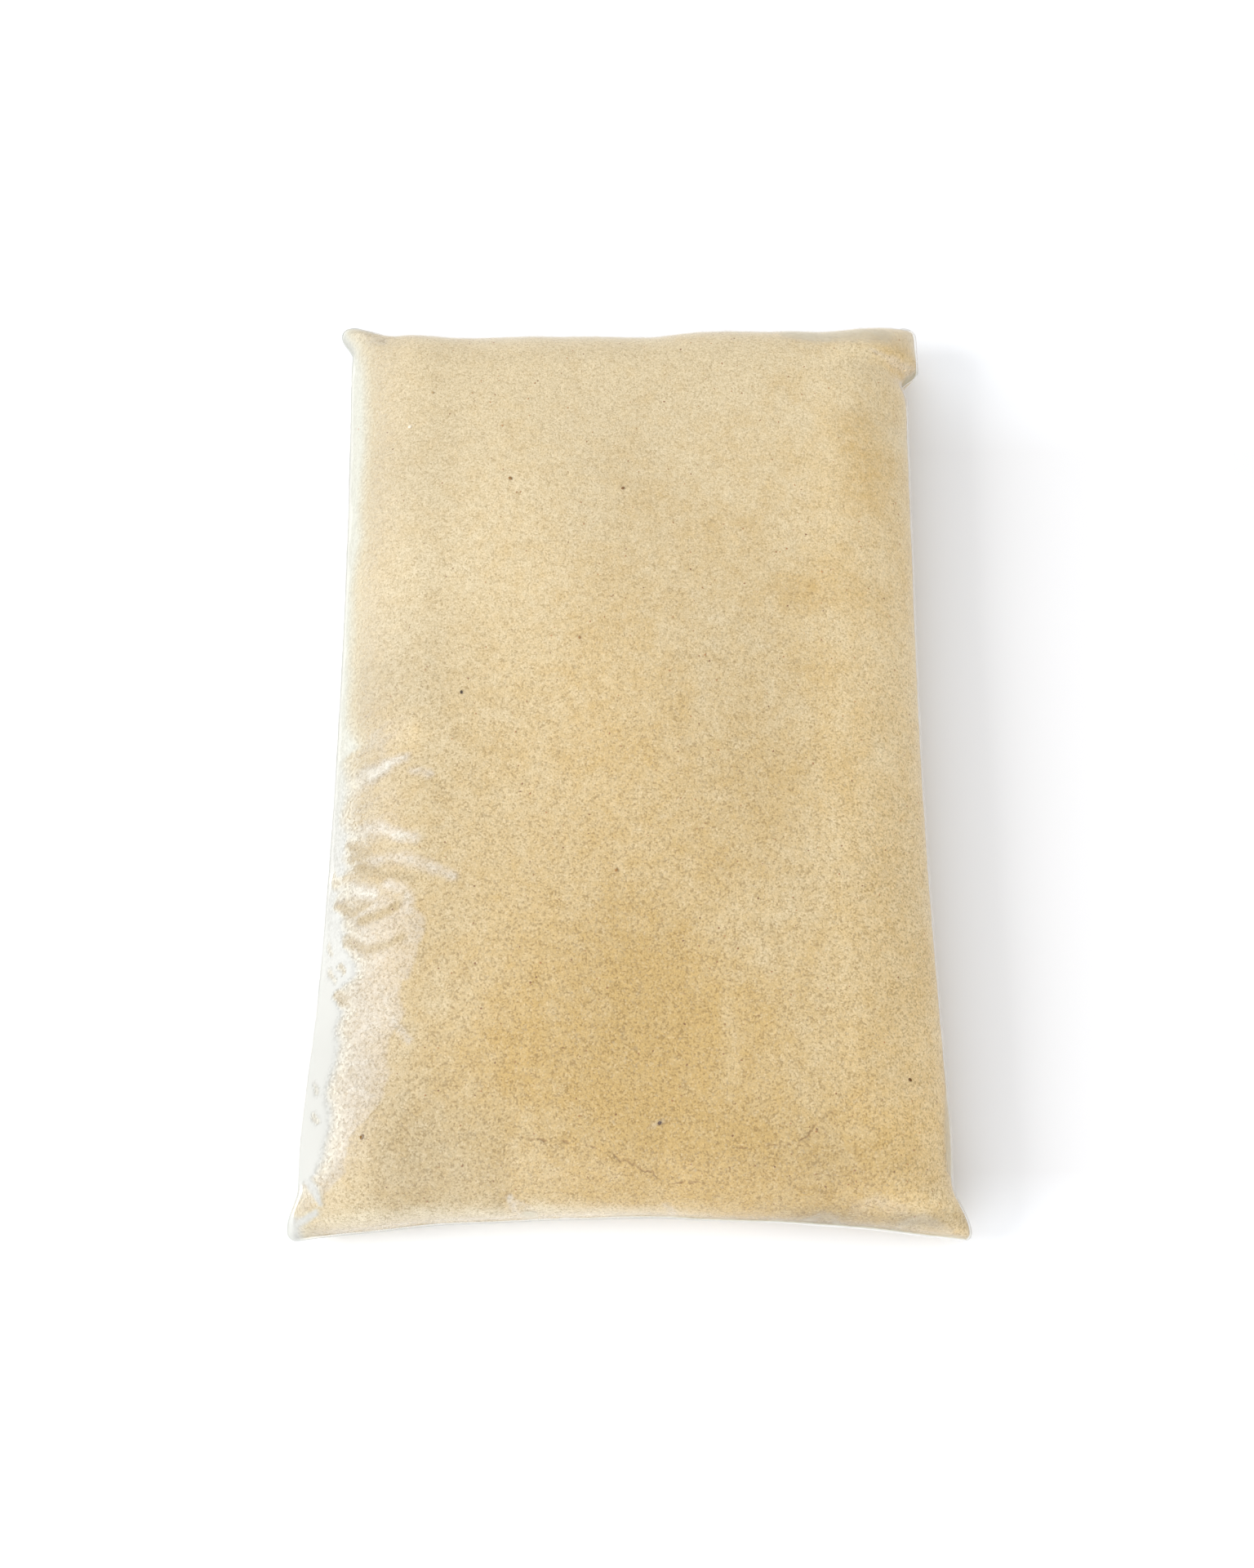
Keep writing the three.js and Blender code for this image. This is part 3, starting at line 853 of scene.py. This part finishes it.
def calculate(operation, first, second, clamp=False):
    node = addNode(treeOf(first, second), "ShaderNodeMath", {"operation": operation, "use_clamp": clamp})
    feed(node.inputs[0], first)
    feed(node.inputs[1], second)
    return node.outputs[0]


times, plus, minus, larger, divided = [partial(calculate, operation) for operation in (
    "MULTIPLY", "ADD", "SUBTRACT", "MAXIMUM", "DIVIDE")]


def scaled(vector, factor):
    node = addNode(vector.id_data, "ShaderNodeVectorMath", {"operation": "SCALE"}, Scale=factor)
    feed(node.inputs[0], vector)
    return node.outputs[0]


def mixColour(factor, first, second, blend="MIX"):
    settings = {"data_type": "RGBA", "blend_type": blend, "clamp_factor": True}
    node = addNode(treeOf(factor, first, second), "ShaderNodeMix", settings)
    for place, value in ((0, factor), (6, first), (7, second)):
        feed(node.inputs[place], value)
    return node.outputs[2]


def spread(value, fromLow, fromHigh, toLow=0.0, toHigh=1.0):
    node = addNode(value.id_data, "ShaderNodeMapRange", {"clamp": True}, Value=value, From_Min=fromLow,
                   From_Max=fromHigh, To_Min=toLow, To_Max=toHigh)
    return node.outputs[0]


def attribute(tree, name):
    return addNode(tree, "ShaderNodeAttribute", {"attribute_name": name}).outputs["Fac"]


# A colour times one of the surface's attributes
def shadedBy(tree, colour, name):
    share = attribute(tree, name)
    grey = addNode(tree, "ShaderNodeCombineColor", Red=share, Green=share, Blue=share).outputs[0]
    return mixColour(1.0, colour, grey, "MULTIPLY")


def newMaterial(name):
    material = bpy.data.materials.new(name)
    material.use_nodes = True
    material.node_tree.nodes.clear()
    return material, material.node_tree


def principled(tree, colour, roughness, shine, **more):
    return addNode(tree, "ShaderNodeBsdfPrincipled", Base_Color=colour, Roughness=roughness,
                   Specular_IOR_Level=shine, **more)


def setSurface(tree, shader):
    addNode(tree, "ShaderNodeOutputMaterial", Surface=shader.outputs[0])


# A colour from 0 to 255 as seen on a screen, for a socket
def screenColour(red, green, blue):
    def linear(c):
        c /= 255
        return c / 12.92 if c <= 0.04045 else ((c + 0.055) / 1.055) ** 2.4
    return (linear(red), linear(green), linear(blue), 1)


# The flour's grain, which the flour shows and which breaks up the film's haze over it
grainForm = {
    "warp": 0.8,  # share of a grain's size by which its outline is bent
    "cloudScale": 0.55,  # grains for each cloud
}


def makeGrainPattern():
    group = bpy.data.node_groups.new("grainPattern", "ShaderNodeTree")
    for name in ("Grain Size", "Mottle Size"):
        group.interface.new_socket(name, in_out="INPUT", socket_type="NodeSocketFloat")
    for name in ("Tone", "Height", "Mottle", "Speckle", "Cloud"):
        group.interface.new_socket(name, in_out="OUTPUT", socket_type="NodeSocketFloat")
    given = group.nodes.new("NodeGroupInput").outputs
    where = group.nodes.new("ShaderNodeTexCoord").outputs["Object"]
    grainScale = divided(1.0, given["Grain Size"])
    mottleScale = divided(1.0, given["Mottle Size"])
    warp = addNode(group, "ShaderNodeTexNoise", Vector=where, Scale=grainScale, Detail=1.0)
    shift = scaled(warp.outputs["Color"], times(given["Grain Size"], grainForm["warp"]))
    moved = addNode(group, "ShaderNodeVectorMath", {"operation": "ADD"})
    feed(moved.inputs[0], where)
    feed(moved.inputs[1], shift)
    cells = addNode(group, "ShaderNodeTexVoronoi", Vector=moved.outputs[0], Scale=grainScale, Randomness=1.0)
    split = addNode(group, "ShaderNodeSeparateColor", Color=cells.outputs["Color"])
    mottle = addNode(group, "ShaderNodeTexNoise", Vector=where, Scale=mottleScale, Detail=2.0, Roughness=0.5)
    cloudScale = times(grainScale, grainForm["cloudScale"])
    cloud = addNode(group, "ShaderNodeTexNoise", Vector=where, Scale=cloudScale, Detail=3.0, Roughness=0.7)
    addNode(group, "NodeGroupOutput", Cloud=cloud.outputs[0], Tone=split.outputs[0], Mottle=mottle.outputs[0],
            Speckle=split.outputs[1], Height=minus(1.0, cells.outputs["Distance"]))
    return group


grainPattern = makeGrainPattern()


def grainPatternIn(tree, look):
    node = addNode(tree, "ShaderNodeGroup", {"node_tree": grainPattern})
    feed(node.inputs["Grain Size"], look["grainSize"])
    feed(node.inputs["Mottle Size"], look["mottleSize"])
    return node.outputs


flourLook = {
    "dry": screenColour(225, 208, 172),
    "pressed": screenColour(208, 177, 113),
    "powder": screenColour(225, 217, 194),
    # partly flour lying loose, partly the film's painted sheen over it
    "looseAndSheen": screenColour(223, 208, 184),
    # painted highlight of the strokes where the film is lifted most
    "highlightStroke": screenColour(238, 233, 221),
    "pale": screenColour(236, 224, 196),
    "darkGrain": (0.7, 0.66, 0.57, 1),  # share of the colour left on the darkest grains
    "gap": (0.87, 0.855, 0.81, 1),  # and between them, a painted shade
    "cloud": (0.77, 0.745, 0.68, 1),  # and where grains lie closer together
    # painted shade inside the cracks, over their real grooves
    "crack": screenColour(140, 103, 52),
    "grainSize": 0.00055,  # m
    "mottleSize": 0.0045,  # m
    "mottleSpread": (0.3, 0.7, -0.17, 0.17),  # lowest and highest of the pattern, and what they become
    "darkSpread": (0.05, 0.35, 1.0, 0.0),
    "gapShadeSpread": (0.35, 0.6, 0.8, 0.0),
    "cloudSpread": (0.35, 0.68, 0.0, 1.0),
    "paleSpread": (0.75, 1.0, 0.0, 0.2),
    "crackShadeSpread": (0.25, 0.9, 0.0, 0.6),
    "bump": 0.4,
    "bumpDepth": 0.0003,  # m
    "roughness": 0.95,
    "shine": 0.2,
}


def flourMaterial():
    look = flourLook
    material, tree = newMaterial("almondFlour")
    grain = grainPatternIn(tree, look)
    stained = plus(attribute(tree, "pressed"), spread(grain["Mottle"], *look["mottleSpread"]), clamp=True)
    colour = mixColour(stained, look["dry"], look["pressed"])
    # paler powder, loose flour with the film's painted sheen, and painted highlight strokes
    for name in ("powder", "looseAndSheen", "highlightStroke"):
        colour = mixColour(attribute(tree, name), colour, look[name])
    # painted light and shade
    colour = shadedBy(tree, colour, "paintedLightShade")
    darkGrain = times(spread(grain["Tone"], *look["darkSpread"]), attribute(tree, "coarse"))
    colour = mixColour(darkGrain, colour, look["darkGrain"], "MULTIPLY")
    # painted shade between the grains
    colour = mixColour(spread(grain["Height"], *look["gapShadeSpread"]), colour, look["gap"], "MULTIPLY")
    colour = mixColour(spread(grain["Cloud"], *look["cloudSpread"]), colour, look["cloud"], "MULTIPLY")
    colour = mixColour(spread(grain["Speckle"], *look["paleSpread"]), colour, look["pale"])
    # painted shade in the cracks
    colour = mixColour(spread(attribute(tree, "crack"), *look["crackShadeSpread"]), colour, look["crack"])
    bump = addNode(tree, "ShaderNodeBump", Strength=look["bump"], Distance=look["bumpDepth"],
                   Height=grain["Height"])
    setSurface(tree, principled(tree, colour, look["roughness"], look["shine"], Normal=bump.outputs[0]))
    return material


filmLook = {
    "haze": screenColour(234, 226, 211),  # painted sheen where it is lifted off the flour
    "paintedLightShade": screenColour(236, 231, 219),  # painted highlight where it is lifted most
    "glareCream": screenColour(217, 208, 183),  # fading edge of the painted glare beside the left crease, on the far half
    "glareCreamNear": screenColour(226, 220, 203),  # and on the near half
    "glareFar": screenColour(205, 205, 193),  # painted glare along it, on the far half
    "paintedGlare": screenColour(199, 199, 194),  # painted glare in the middle
    "glareNear": screenColour(190, 190, 185),  # and on the near half
    "nearHalf": (-0.075, -0.11),  # m along the bag, where that starts and is full
    "glareCreaseShade": screenColour(182, 183, 177),  # and right at the crease, with painted shade
    "closed": screenColour(200, 201, 184),  # where two layers lie together
    "rim": screenColour(182, 186, 183),  # its edge on the left
    "rightHalf": (0.0, 0.06),  # m across, from which to which its edge counts as the right one
    "highlightLift": (0.5, 0.8),  # lift from which to which it turns to the painted highlight
    "glareCreamSpan": (0.0, 0.4),  # glare from which to which it turns cream
    "fullGlareSpan": (0.42, 0.82),  # and full painted glare
    "grainSize": 0.0008,  # m, of the grains that show through where it is whitish
    "mottleSize": 0.003,  # m
    "grainSpread": (0.1, 0.7, 0.3, 1.2),  # lowest and highest of the pattern, and what they become
    "wispSpread": (0.32, 0.68, 0.75, 1.2),
    "fullLift": (0.6, 0.95, 0.0, 0.85),  # where grains and wisps no longer break it up
    "liftCover": (0.5, 0.95, 0.26, 0.36),  # milky share of painted sheen where it is lifted, little and most
    "glareCover": 0.95,
    "speckle": (0.0, 1.0, 1.3, 2.0),  # how much grains break up the painted glare, clean and dusty
    "closedCover": 0.5,
    "rimCover": 0.65,
    "rimMirror": 0.6,  # share reflected by its edge on the right
    "restCover": 0.02,
    "mirror": 0.045,  # share reflected face on
    "grazing": 0.65,  # and more at a slant
    "slant": 0.5,
    "slantPower": 4.0,
    "liftMirror": 0.08,  # and more where it is lifted
    "roughness": (0.0, 0.5, 0.55, 0.45),  # where it lies on the grains, and lifted
    "milkyRoughness": 0.6,
    "milkyShine": 0.2,
}


def mixShaders(tree, factor, first, second):
    node = addNode(tree, "ShaderNodeMixShader", Fac=factor)
    feed(node.inputs[1], first.outputs[0])
    feed(node.inputs[2], second.outputs[0])
    return node


def filmMaterial():
    look = filmLook
    material, tree = newMaterial("clearFilm")
    grain = grainPatternIn(tree, look)
    liftAndSheen, paintedGlare, closed, rim, dust, crease = [attribute(tree, name) for name in (
        "liftAndSheen", "paintedGlare", "closed", "rim", "dust", "crease")]
    where = tree.nodes.new("ShaderNodeTexCoord").outputs["Object"]
    where = addNode(tree, "ShaderNodeSeparateXYZ", Vector=where).outputs
    rightRim = times(rim, spread(where["X"], *look["rightHalf"]))
    leftRim = minus(rim, rightRim)

    # How milky it is: painted sheen where it is lifted, painted glare along the left crease, and where two
    # layers lie together and at its edge
    wisps = spread(grain["Mottle"], *look["wispSpread"])
    lifted = times(liftAndSheen, times(spread(grain["Tone"], *look["grainSpread"]), wisps))
    lifted = larger(lifted, spread(liftAndSheen, *look["fullLift"]))
    veil = times(lifted, spread(liftAndSheen, *look["liftCover"]))
    speck = minus(grain["Tone"], 0.5)
    partly = times(times(paintedGlare, minus(1.0, paintedGlare)), spread(dust, *look["speckle"]))
    veil = larger(veil, times(plus(paintedGlare, times(speck, partly)), look["glareCover"], clamp=True))
    veil = larger(veil, times(times(closed, wisps), look["closedCover"]))
    veil = larger(veil, times(leftRim, look["rimCover"]))
    veil = plus(times(veil, minus(1.0, rightRim)), look["restCover"], clamp=True)

    # How much the clear rest reflects
    slant = addNode(tree, "ShaderNodeLayerWeight", Blend=look["slant"]).outputs["Facing"]
    mirror = times(calculate("POWER", slant, look["slantPower"]), look["grazing"])
    mirror = plus(times(mirror, minus(1.0, paintedGlare)), look["mirror"])
    mirror = larger(mirror, times(rightRim, look["rimMirror"]))
    mirror = plus(mirror, times(lifted, look["liftMirror"]), clamp=True)
    gloss = addNode(tree, "ShaderNodeBsdfAnisotropic", Color=(1, 1, 1, 1),
                    Roughness=spread(liftAndSheen, *look["roughness"]))
    sheen = mixShaders(tree, mirror, tree.nodes.new("ShaderNodeBsdfTransparent"), gloss)

    # Its colour: painted sheen with painted shade on the steep left side, painted highlight where it is
    # lifted most, two layers, the band of painted glare, and its edge
    colour = shadedBy(tree, look["haze"], "shade")
    colour = mixColour(spread(liftAndSheen, *look["highlightLift"]), colour, look["paintedLightShade"])
    colour = mixColour(closed, colour, look["closed"])
    pure = mixColour(dust, look["glareFar"], look["paintedGlare"])
    pure = mixColour(spread(where["Y"], *look["nearHalf"]), pure, look["glareNear"])
    pure = mixColour(crease, pure, look["glareCreaseShade"])
    glareCream = mixColour(dust, look["glareCream"], look["glareCreamNear"])
    band = mixColour(spread(paintedGlare, *look["fullGlareSpan"]), glareCream, pure)
    colour = mixColour(spread(paintedGlare, *look["glareCreamSpan"]), colour, band)
    colour = mixColour(rim, colour, look["rim"])
    milky = principled(tree, colour, look["milkyRoughness"], look["milkyShine"])
    setSurface(tree, mixShaders(tree, veil, sheen, milky))
    return material


film.data.materials.append(filmMaterial())
print("film material made")


# Geometry Nodes: a piece's tree, with inputs for its sizes, its seed and its material
def newTree(name, sizes, seeds=()):
    tree = bpy.data.node_groups.new(name, "GeometryNodeTree")
    kinds = {"Geometry": "Geometry", "Material": "Material"}
    kinds.update({label: "Float" for label in sizes})
    kinds.update({label: "Int" for label in seeds})
    for label, kind in kinds.items():
        tree.interface.new_socket(label, in_out="INPUT", socket_type="NodeSocket" + kind)
    tree.interface.new_socket("Geometry", in_out="OUTPUT", socket_type="NodeSocketGeometry")
    return tree, tree.nodes.new("NodeGroupInput").outputs


def endTree(tree, given, geometry):
    solid = addNode(tree, "GeometryNodeRealizeInstances", Geometry=geometry)
    dressed = addNode(tree, "GeometryNodeSetMaterial", Geometry=solid.outputs[0], Material=given["Material"])
    addNode(tree, "NodeGroupOutput", Geometry=dressed.outputs[0])
    return tree


# The tree run on a mesh and turned into a plain mesh
def runTree(base, tree, name, settings):
    modifier = base.modifiers.new(tree.name, "NODES")
    modifier.node_group = tree
    sockets = [item for item in tree.interface.items_tree if item.item_type == "SOCKET"]
    sockets = {socket.name: socket.identifier for socket in sockets if socket.in_out == "INPUT"}
    for label, value in settings.items():
        modifier[sockets[label]] = value
    evaluated = base.evaluated_get(bpy.context.evaluated_depsgraph_get())
    mesh = bpy.data.meshes.new_from_object(evaluated)
    base.modifiers.remove(modifier)
    mesh.name = name
    return addObject(name, mesh)


def namedValue(tree, name):
    node = addNode(tree, "GeometryNodeInputNamedAttribute", {"data_type": "FLOAT"}, Name=name)
    return node.outputs["Attribute"]


# Relief: slow lumps and single grains, on the side that shows
def makeReliefTree():
    sizes = ("Lump Size", "Lump Height", "Grain Size", "Grain Height", "Inset")
    tree, given = newTree("flourRelief", sizes)
    where = tree.nodes.new("GeometryNodeInputPosition").outputs[0]

    def rises(size, height, detail):
        scale = divided(1.0, given[size])
        noise = addNode(tree, "ShaderNodeTexNoise", Vector=where, Scale=scale, Detail=detail)
        return times(minus(noise.outputs[0], 0.5), given[height])

    rise = plus(rises("Lump Size", "Lump Height", 2.0), rises("Grain Size", "Grain Height", 0.0))
    rise = times(times(rise, 2.0), namedValue(tree, "shown"))
    normal = tree.nodes.new("GeometryNodeInputNormal").outputs[0]
    moved = addNode(tree, "GeometryNodeSetPosition", Geometry=given["Geometry"],
                    Offset=scaled(normal, minus(rise, given["Inset"])))
    return endTree(tree, given, moved.outputs[0])


flour = runTree(flourCore, makeReliefTree(), "flour", {
    "Lump Size": flourPiece["lumpSize"] * mm,
    "Lump Height": flourPiece["lumpHeight"] * mm,
    "Grain Size": flourPiece["grainSize"] * mm,
    "Grain Height": flourPiece["grainHeight"] * mm,
    "Inset": flourPiece["inset"] * mm,
    "Material": flourMaterial(),
})
bpy.data.objects.remove(flourCore)
print("flour made:", len(flour.data.polygons), "faces")

# Crumbs: grains and skin flecks, strewn over the flour that shows and clear of its cracks
crumbForm = {
    "crackLimit": 0.3,  # of a crack's strength
    "turn": (0.5, 0.5, 2 * math.pi),  # radians at most
    "stretch": (0.65, 1.3),  # width for each length
    "seedSteps": {"size": 7.0, "stretch": 13.0, "tone": 29.0},
    "looseAndSheen": 0.7,  # share of the loose flour's colour, partly painted sheen, that they take
    "highlightStroke": 0.8,  # and of the strokes' painted highlight
    "shine": 0.25,
}
crumbKinds = [
    {"name": "paleGrains", "density": 120000.0, "seed": 3, "smallest": 0.2, "largest": 0.34, "flatness": 0.7,
     "sink": 0.12, "darker": screenColour(210, 192, 152), "paler": screenColour(230, 216, 184), "stain": 0.9,
     "roughness": 0.9},
    {"name": "goldenGrains", "density": 120000.0, "seed": 5, "smallest": 0.18, "largest": 0.32,
     "flatness": 0.7, "sink": 0.1, "darker": screenColour(166, 142, 102),
     "paler": screenColour(208, 186, 144), "stain": 0.75, "roughness": 0.9},
    {"name": "skinFlecks", "density": 9000.0, "seed": 11, "smallest": 0.2, "largest": 0.42, "flatness": 0.3,
     "sink": 0.02, "darker": screenColour(120, 78, 44), "paler": screenColour(176, 126, 74), "stain": 0.0,
     "roughness": 0.8},
]


def makeScatterTree():
    form = crumbForm
    sizes = ("Density", "Smallest", "Largest", "Flatness", "Sink")
    tree, given = newTree("crumbScatter", sizes, ("Seed",))
    clearOfCracks = calculate("LESS_THAN", namedValue(tree, "crack"), form["crackLimit"])
    density = times(times(namedValue(tree, "shown"), clearOfCracks), given["Density"])
    points = addNode(tree, "GeometryNodeDistributePointsOnFaces", Mesh=given["Geometry"], Density=density,
                     Seed=given["Seed"]).outputs
    sunk = addNode(tree, "GeometryNodeSetPosition", Geometry=points["Points"],
                   Offset=scaled(points["Normal"], times(given["Sink"], -1.0)))
    turn = addNode(tree, "FunctionNodeRandomValue", {"data_type": "FLOAT_VECTOR"}, Max=form["turn"],
                   Seed=given["Seed"])
    turned = addNode(tree, "FunctionNodeRotateEuler", {"space": "LOCAL"}, Rotation=points["Rotation"],
                     Rotate_By=turn.outputs["Value"])

    def drawn(name, low, high):
        node = addNode(tree, "FunctionNodeRandomValue", {"data_type": "FLOAT"},
                       Seed=plus(given["Seed"], form["seedSteps"][name]))
        feed(node.inputs[2], low)
        feed(node.inputs[3], high)
        return node.outputs[1]

    size = drawn("size", given["Smallest"], given["Largest"])
    scale = addNode(tree, "ShaderNodeCombineXYZ", X=size, Y=times(size, drawn("stretch", *form["stretch"])),
                    Z=times(size, given["Flatness"]))
    crumb = addNode(tree, "GeometryNodeMeshIcoSphere", Radius=1.0, Subdivisions=1)
    placed = addNode(tree, "GeometryNodeInstanceOnPoints", Points=sunk.outputs[0],
                     Instance=crumb.outputs["Mesh"], Rotation=turned.outputs[0], Scale=scale.outputs[0])
    toned = addNode(tree, "GeometryNodeStoreNamedAttribute", {"data_type": "FLOAT", "domain": "INSTANCE"},
                    Geometry=placed.outputs[0], Name="tone", Value=drawn("tone", 0.0, 1.0))
    return endTree(tree, given, toned.outputs[0])


def crumbMaterial(kind):
    material, tree = newMaterial(kind["name"])
    colour = mixColour(attribute(tree, "tone"), kind["darker"], kind["paler"])
    colour = mixColour(times(attribute(tree, "pressed"), kind["stain"]), colour, flourLook["pressed"])
    colour = mixColour(attribute(tree, "powder"), colour, flourLook["powder"])
    # loose flour's painted sheen and the strokes' painted highlight
    for name in ("looseAndSheen", "highlightStroke"):
        colour = mixColour(times(attribute(tree, name), crumbForm[name]), colour, flourLook[name])
    # painted light and shade, as on the flour
    colour = shadedBy(tree, colour, "paintedLightShade")
    setSurface(tree, principled(tree, colour, kind["roughness"], crumbForm["shine"]))
    return material


def makeCrumbs():
    tree = makeScatterTree()
    pieces = []
    for kind in crumbKinds:
        pieces.append(runTree(flour, tree, kind["name"], {
            "Density": kind["density"],
            "Seed": kind["seed"],
            "Smallest": kind["smallest"] * mm,
            "Largest": kind["largest"] * mm,
            "Flatness": kind["flatness"],
            "Sink": kind["sink"] * mm,
            "Material": crumbMaterial(kind),
        }))
        print(kind["name"], "made:", len(pieces[-1].data.polygons), "faces")
    return pieces


crumbs = makeCrumbs()

# Single bits that stand out against the flour
strayBits = {
    "depth": 0.3,  # mm under the film
    "shape": (1.0, 0.75, 0.4),  # length, width and thickness for each mm of radius
    "seed": 17,  # of their turns
    "roughness": 0.8,
    "shine": 0.1,
    "bits": [  # pixel of the photograph, radius in mm, colour
        ((625, 585), 0.75, (134, 98, 42)),
        ((763, 597), 0.68, (122, 84, 30)),
        ((565, 847), 0.62, (56, 36, 6)),
        ((755, 1065), 0.6, (154, 114, 54)),
        ((808, 1375), 0.7, (70, 36, 0)),
        ((443, 1392), 0.9, (124, 92, 40)),
        ((440, 525), 0.6, (178, 130, 108)),
        ((710, 780), 0.6, (150, 112, 62)),
        ((1115, 1322), 0.65, (98, 64, 12)),
        ((530, 480), 0.55, (168, 144, 100)),
        ((502, 522), 0.8, (234, 224, 202)),
    ],
}


def makeBits():
    form = strayBits
    mesh = bmesh.new()
    paint = mesh.verts.layers.float_color.new("paint")
    turns = np.random.default_rng(form["seed"]).uniform(0, math.pi, len(form["bits"]))
    for (pixel, radius, colour), turn in zip(form["bits"], turns):
        x, y, z = onBag([pixel])[0]
        made = bmesh.ops.create_icosphere(mesh, subdivisions=2, radius=radius * mm)["verts"]
        bmesh.ops.scale(mesh, vec=form["shape"], verts=made)
        bmesh.ops.rotate(mesh, matrix=Matrix.Rotation(turn, 3, "Z"), verts=made)
        bmesh.ops.translate(mesh, vec=Vector((x, y, z - form["depth"])) * mm, verts=made)
        for vert in made:
            vert[paint] = screenColour(*colour)
    data = bpy.data.meshes.new("strayBits")
    mesh.to_mesh(data)
    mesh.free()
    material, tree = newMaterial("strayBits")
    painted = addNode(tree, "ShaderNodeAttribute", {"attribute_name": "paint"}).outputs["Color"]
    setSurface(tree, principled(tree, painted, form["roughness"], form["shine"]))
    data.materials.append(material)
    return addObject("strayBits", data)


bits = makeBits()
print("stray bits made:", len(strayBits["bits"]))

# Stage: white floor with painted light beyond the bag's ends, an even white room, a window on the left and
# weaker ones on the near and far sides
stageLook = {
    "floorSize": 60.0,  # m
    "floorDrop": 0.0003,  # m, just under the film
    "floor": (0.86, 0.862, 0.873, 1),
    "paintedLightFloor": (0.955, 0.972, 1.0, 1),  # painted light: whiter beyond the far and near ends of the bag, over the bag's shadow there
    "farEnd": (0.122, 0.155),  # m, where that starts and is full
    "nearEnd": (-0.145, -0.162),
    "farFloor": (1.0, 1.0, 1.0, 1),  # as bright as the room, so that no horizon shows
    "farStart": 1.0,  # m
    "farFull": 3.0,  # m
    "room": 0.8,
    "windows": [  # place and size in m, power in W
        {"name": "leftWindow", "place": (-1.0, -0.05, 0.66), "size": (0.6, 0.5), "power": 9.0},
        {"name": "nearWindow", "place": (-0.25, -1.0, 0.6), "size": (1.2, 0.6), "power": 5.0},
        {"name": "farWindow", "place": (-0.4, 1.1, 0.75), "size": (1.2, 0.8), "power": 2.2},
    ],
}


def makeFloor():
    look = stageLook
    half = look["floorSize"] / 2
    mesh = bpy.data.meshes.new("floor")
    corners = [(-half, -half), (half, -half), (half, half), (-half, half)]
    mesh.from_pydata([(x, y, -look["floorDrop"]) for x, y in corners], [], [(0, 1, 2, 3)])
    material, tree = newMaterial("floor")
    where = tree.nodes.new("ShaderNodeTexCoord").outputs["Object"]
    away = addNode(tree, "ShaderNodeVectorMath", {"operation": "LENGTH"})
    feed(away.inputs[0], where)
    along = addNode(tree, "ShaderNodeSeparateXYZ", Vector=where).outputs["Y"]
    # painted light beyond the bag's ends, where it takes out the bag's shadow
    beyond = larger(spread(along, *look["farEnd"]), spread(along, *look["nearEnd"]))
    colour = mixColour(beyond, look["floor"], look["paintedLightFloor"])
    far = spread(away.outputs["Value"], look["farStart"], look["farFull"])
    colour = mixColour(far, colour, look["farFloor"])
    setSurface(tree, addNode(tree, "ShaderNodeBsdfDiffuse", Color=colour))
    mesh.materials.append(material)
    floor = addObject("floor", mesh)


def makeRoom():
    world = bpy.data.worlds.new("room")
    world.use_nodes = True
    background = world.node_tree.nodes["Background"]
    background.inputs["Color"].default_value = (1, 1, 1, 1)
    background.inputs["Strength"].default_value = stageLook["room"]
    bpy.context.scene.world = world
    bpy.context.scene.view_settings.view_transform = "Standard"
    for one in stageLook["windows"]:
        data = bpy.data.lights.new(one["name"], "AREA")
        data.shape = "RECTANGLE"
        data.size, data.size_y = one["size"]
        data.energy = one["power"]
        window = addObject(one["name"], data)
        window.location = one["place"]
        window.rotation_euler = (-Vector(one["place"])).to_track_quat("-Z", "Y").to_euler()


makeFloor()
makeRoom()
print("stage set")

for piece in (film, flour, *crumbs, bits):
    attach(piece, "root")
    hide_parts("flour_bag")

print("pieces placed")
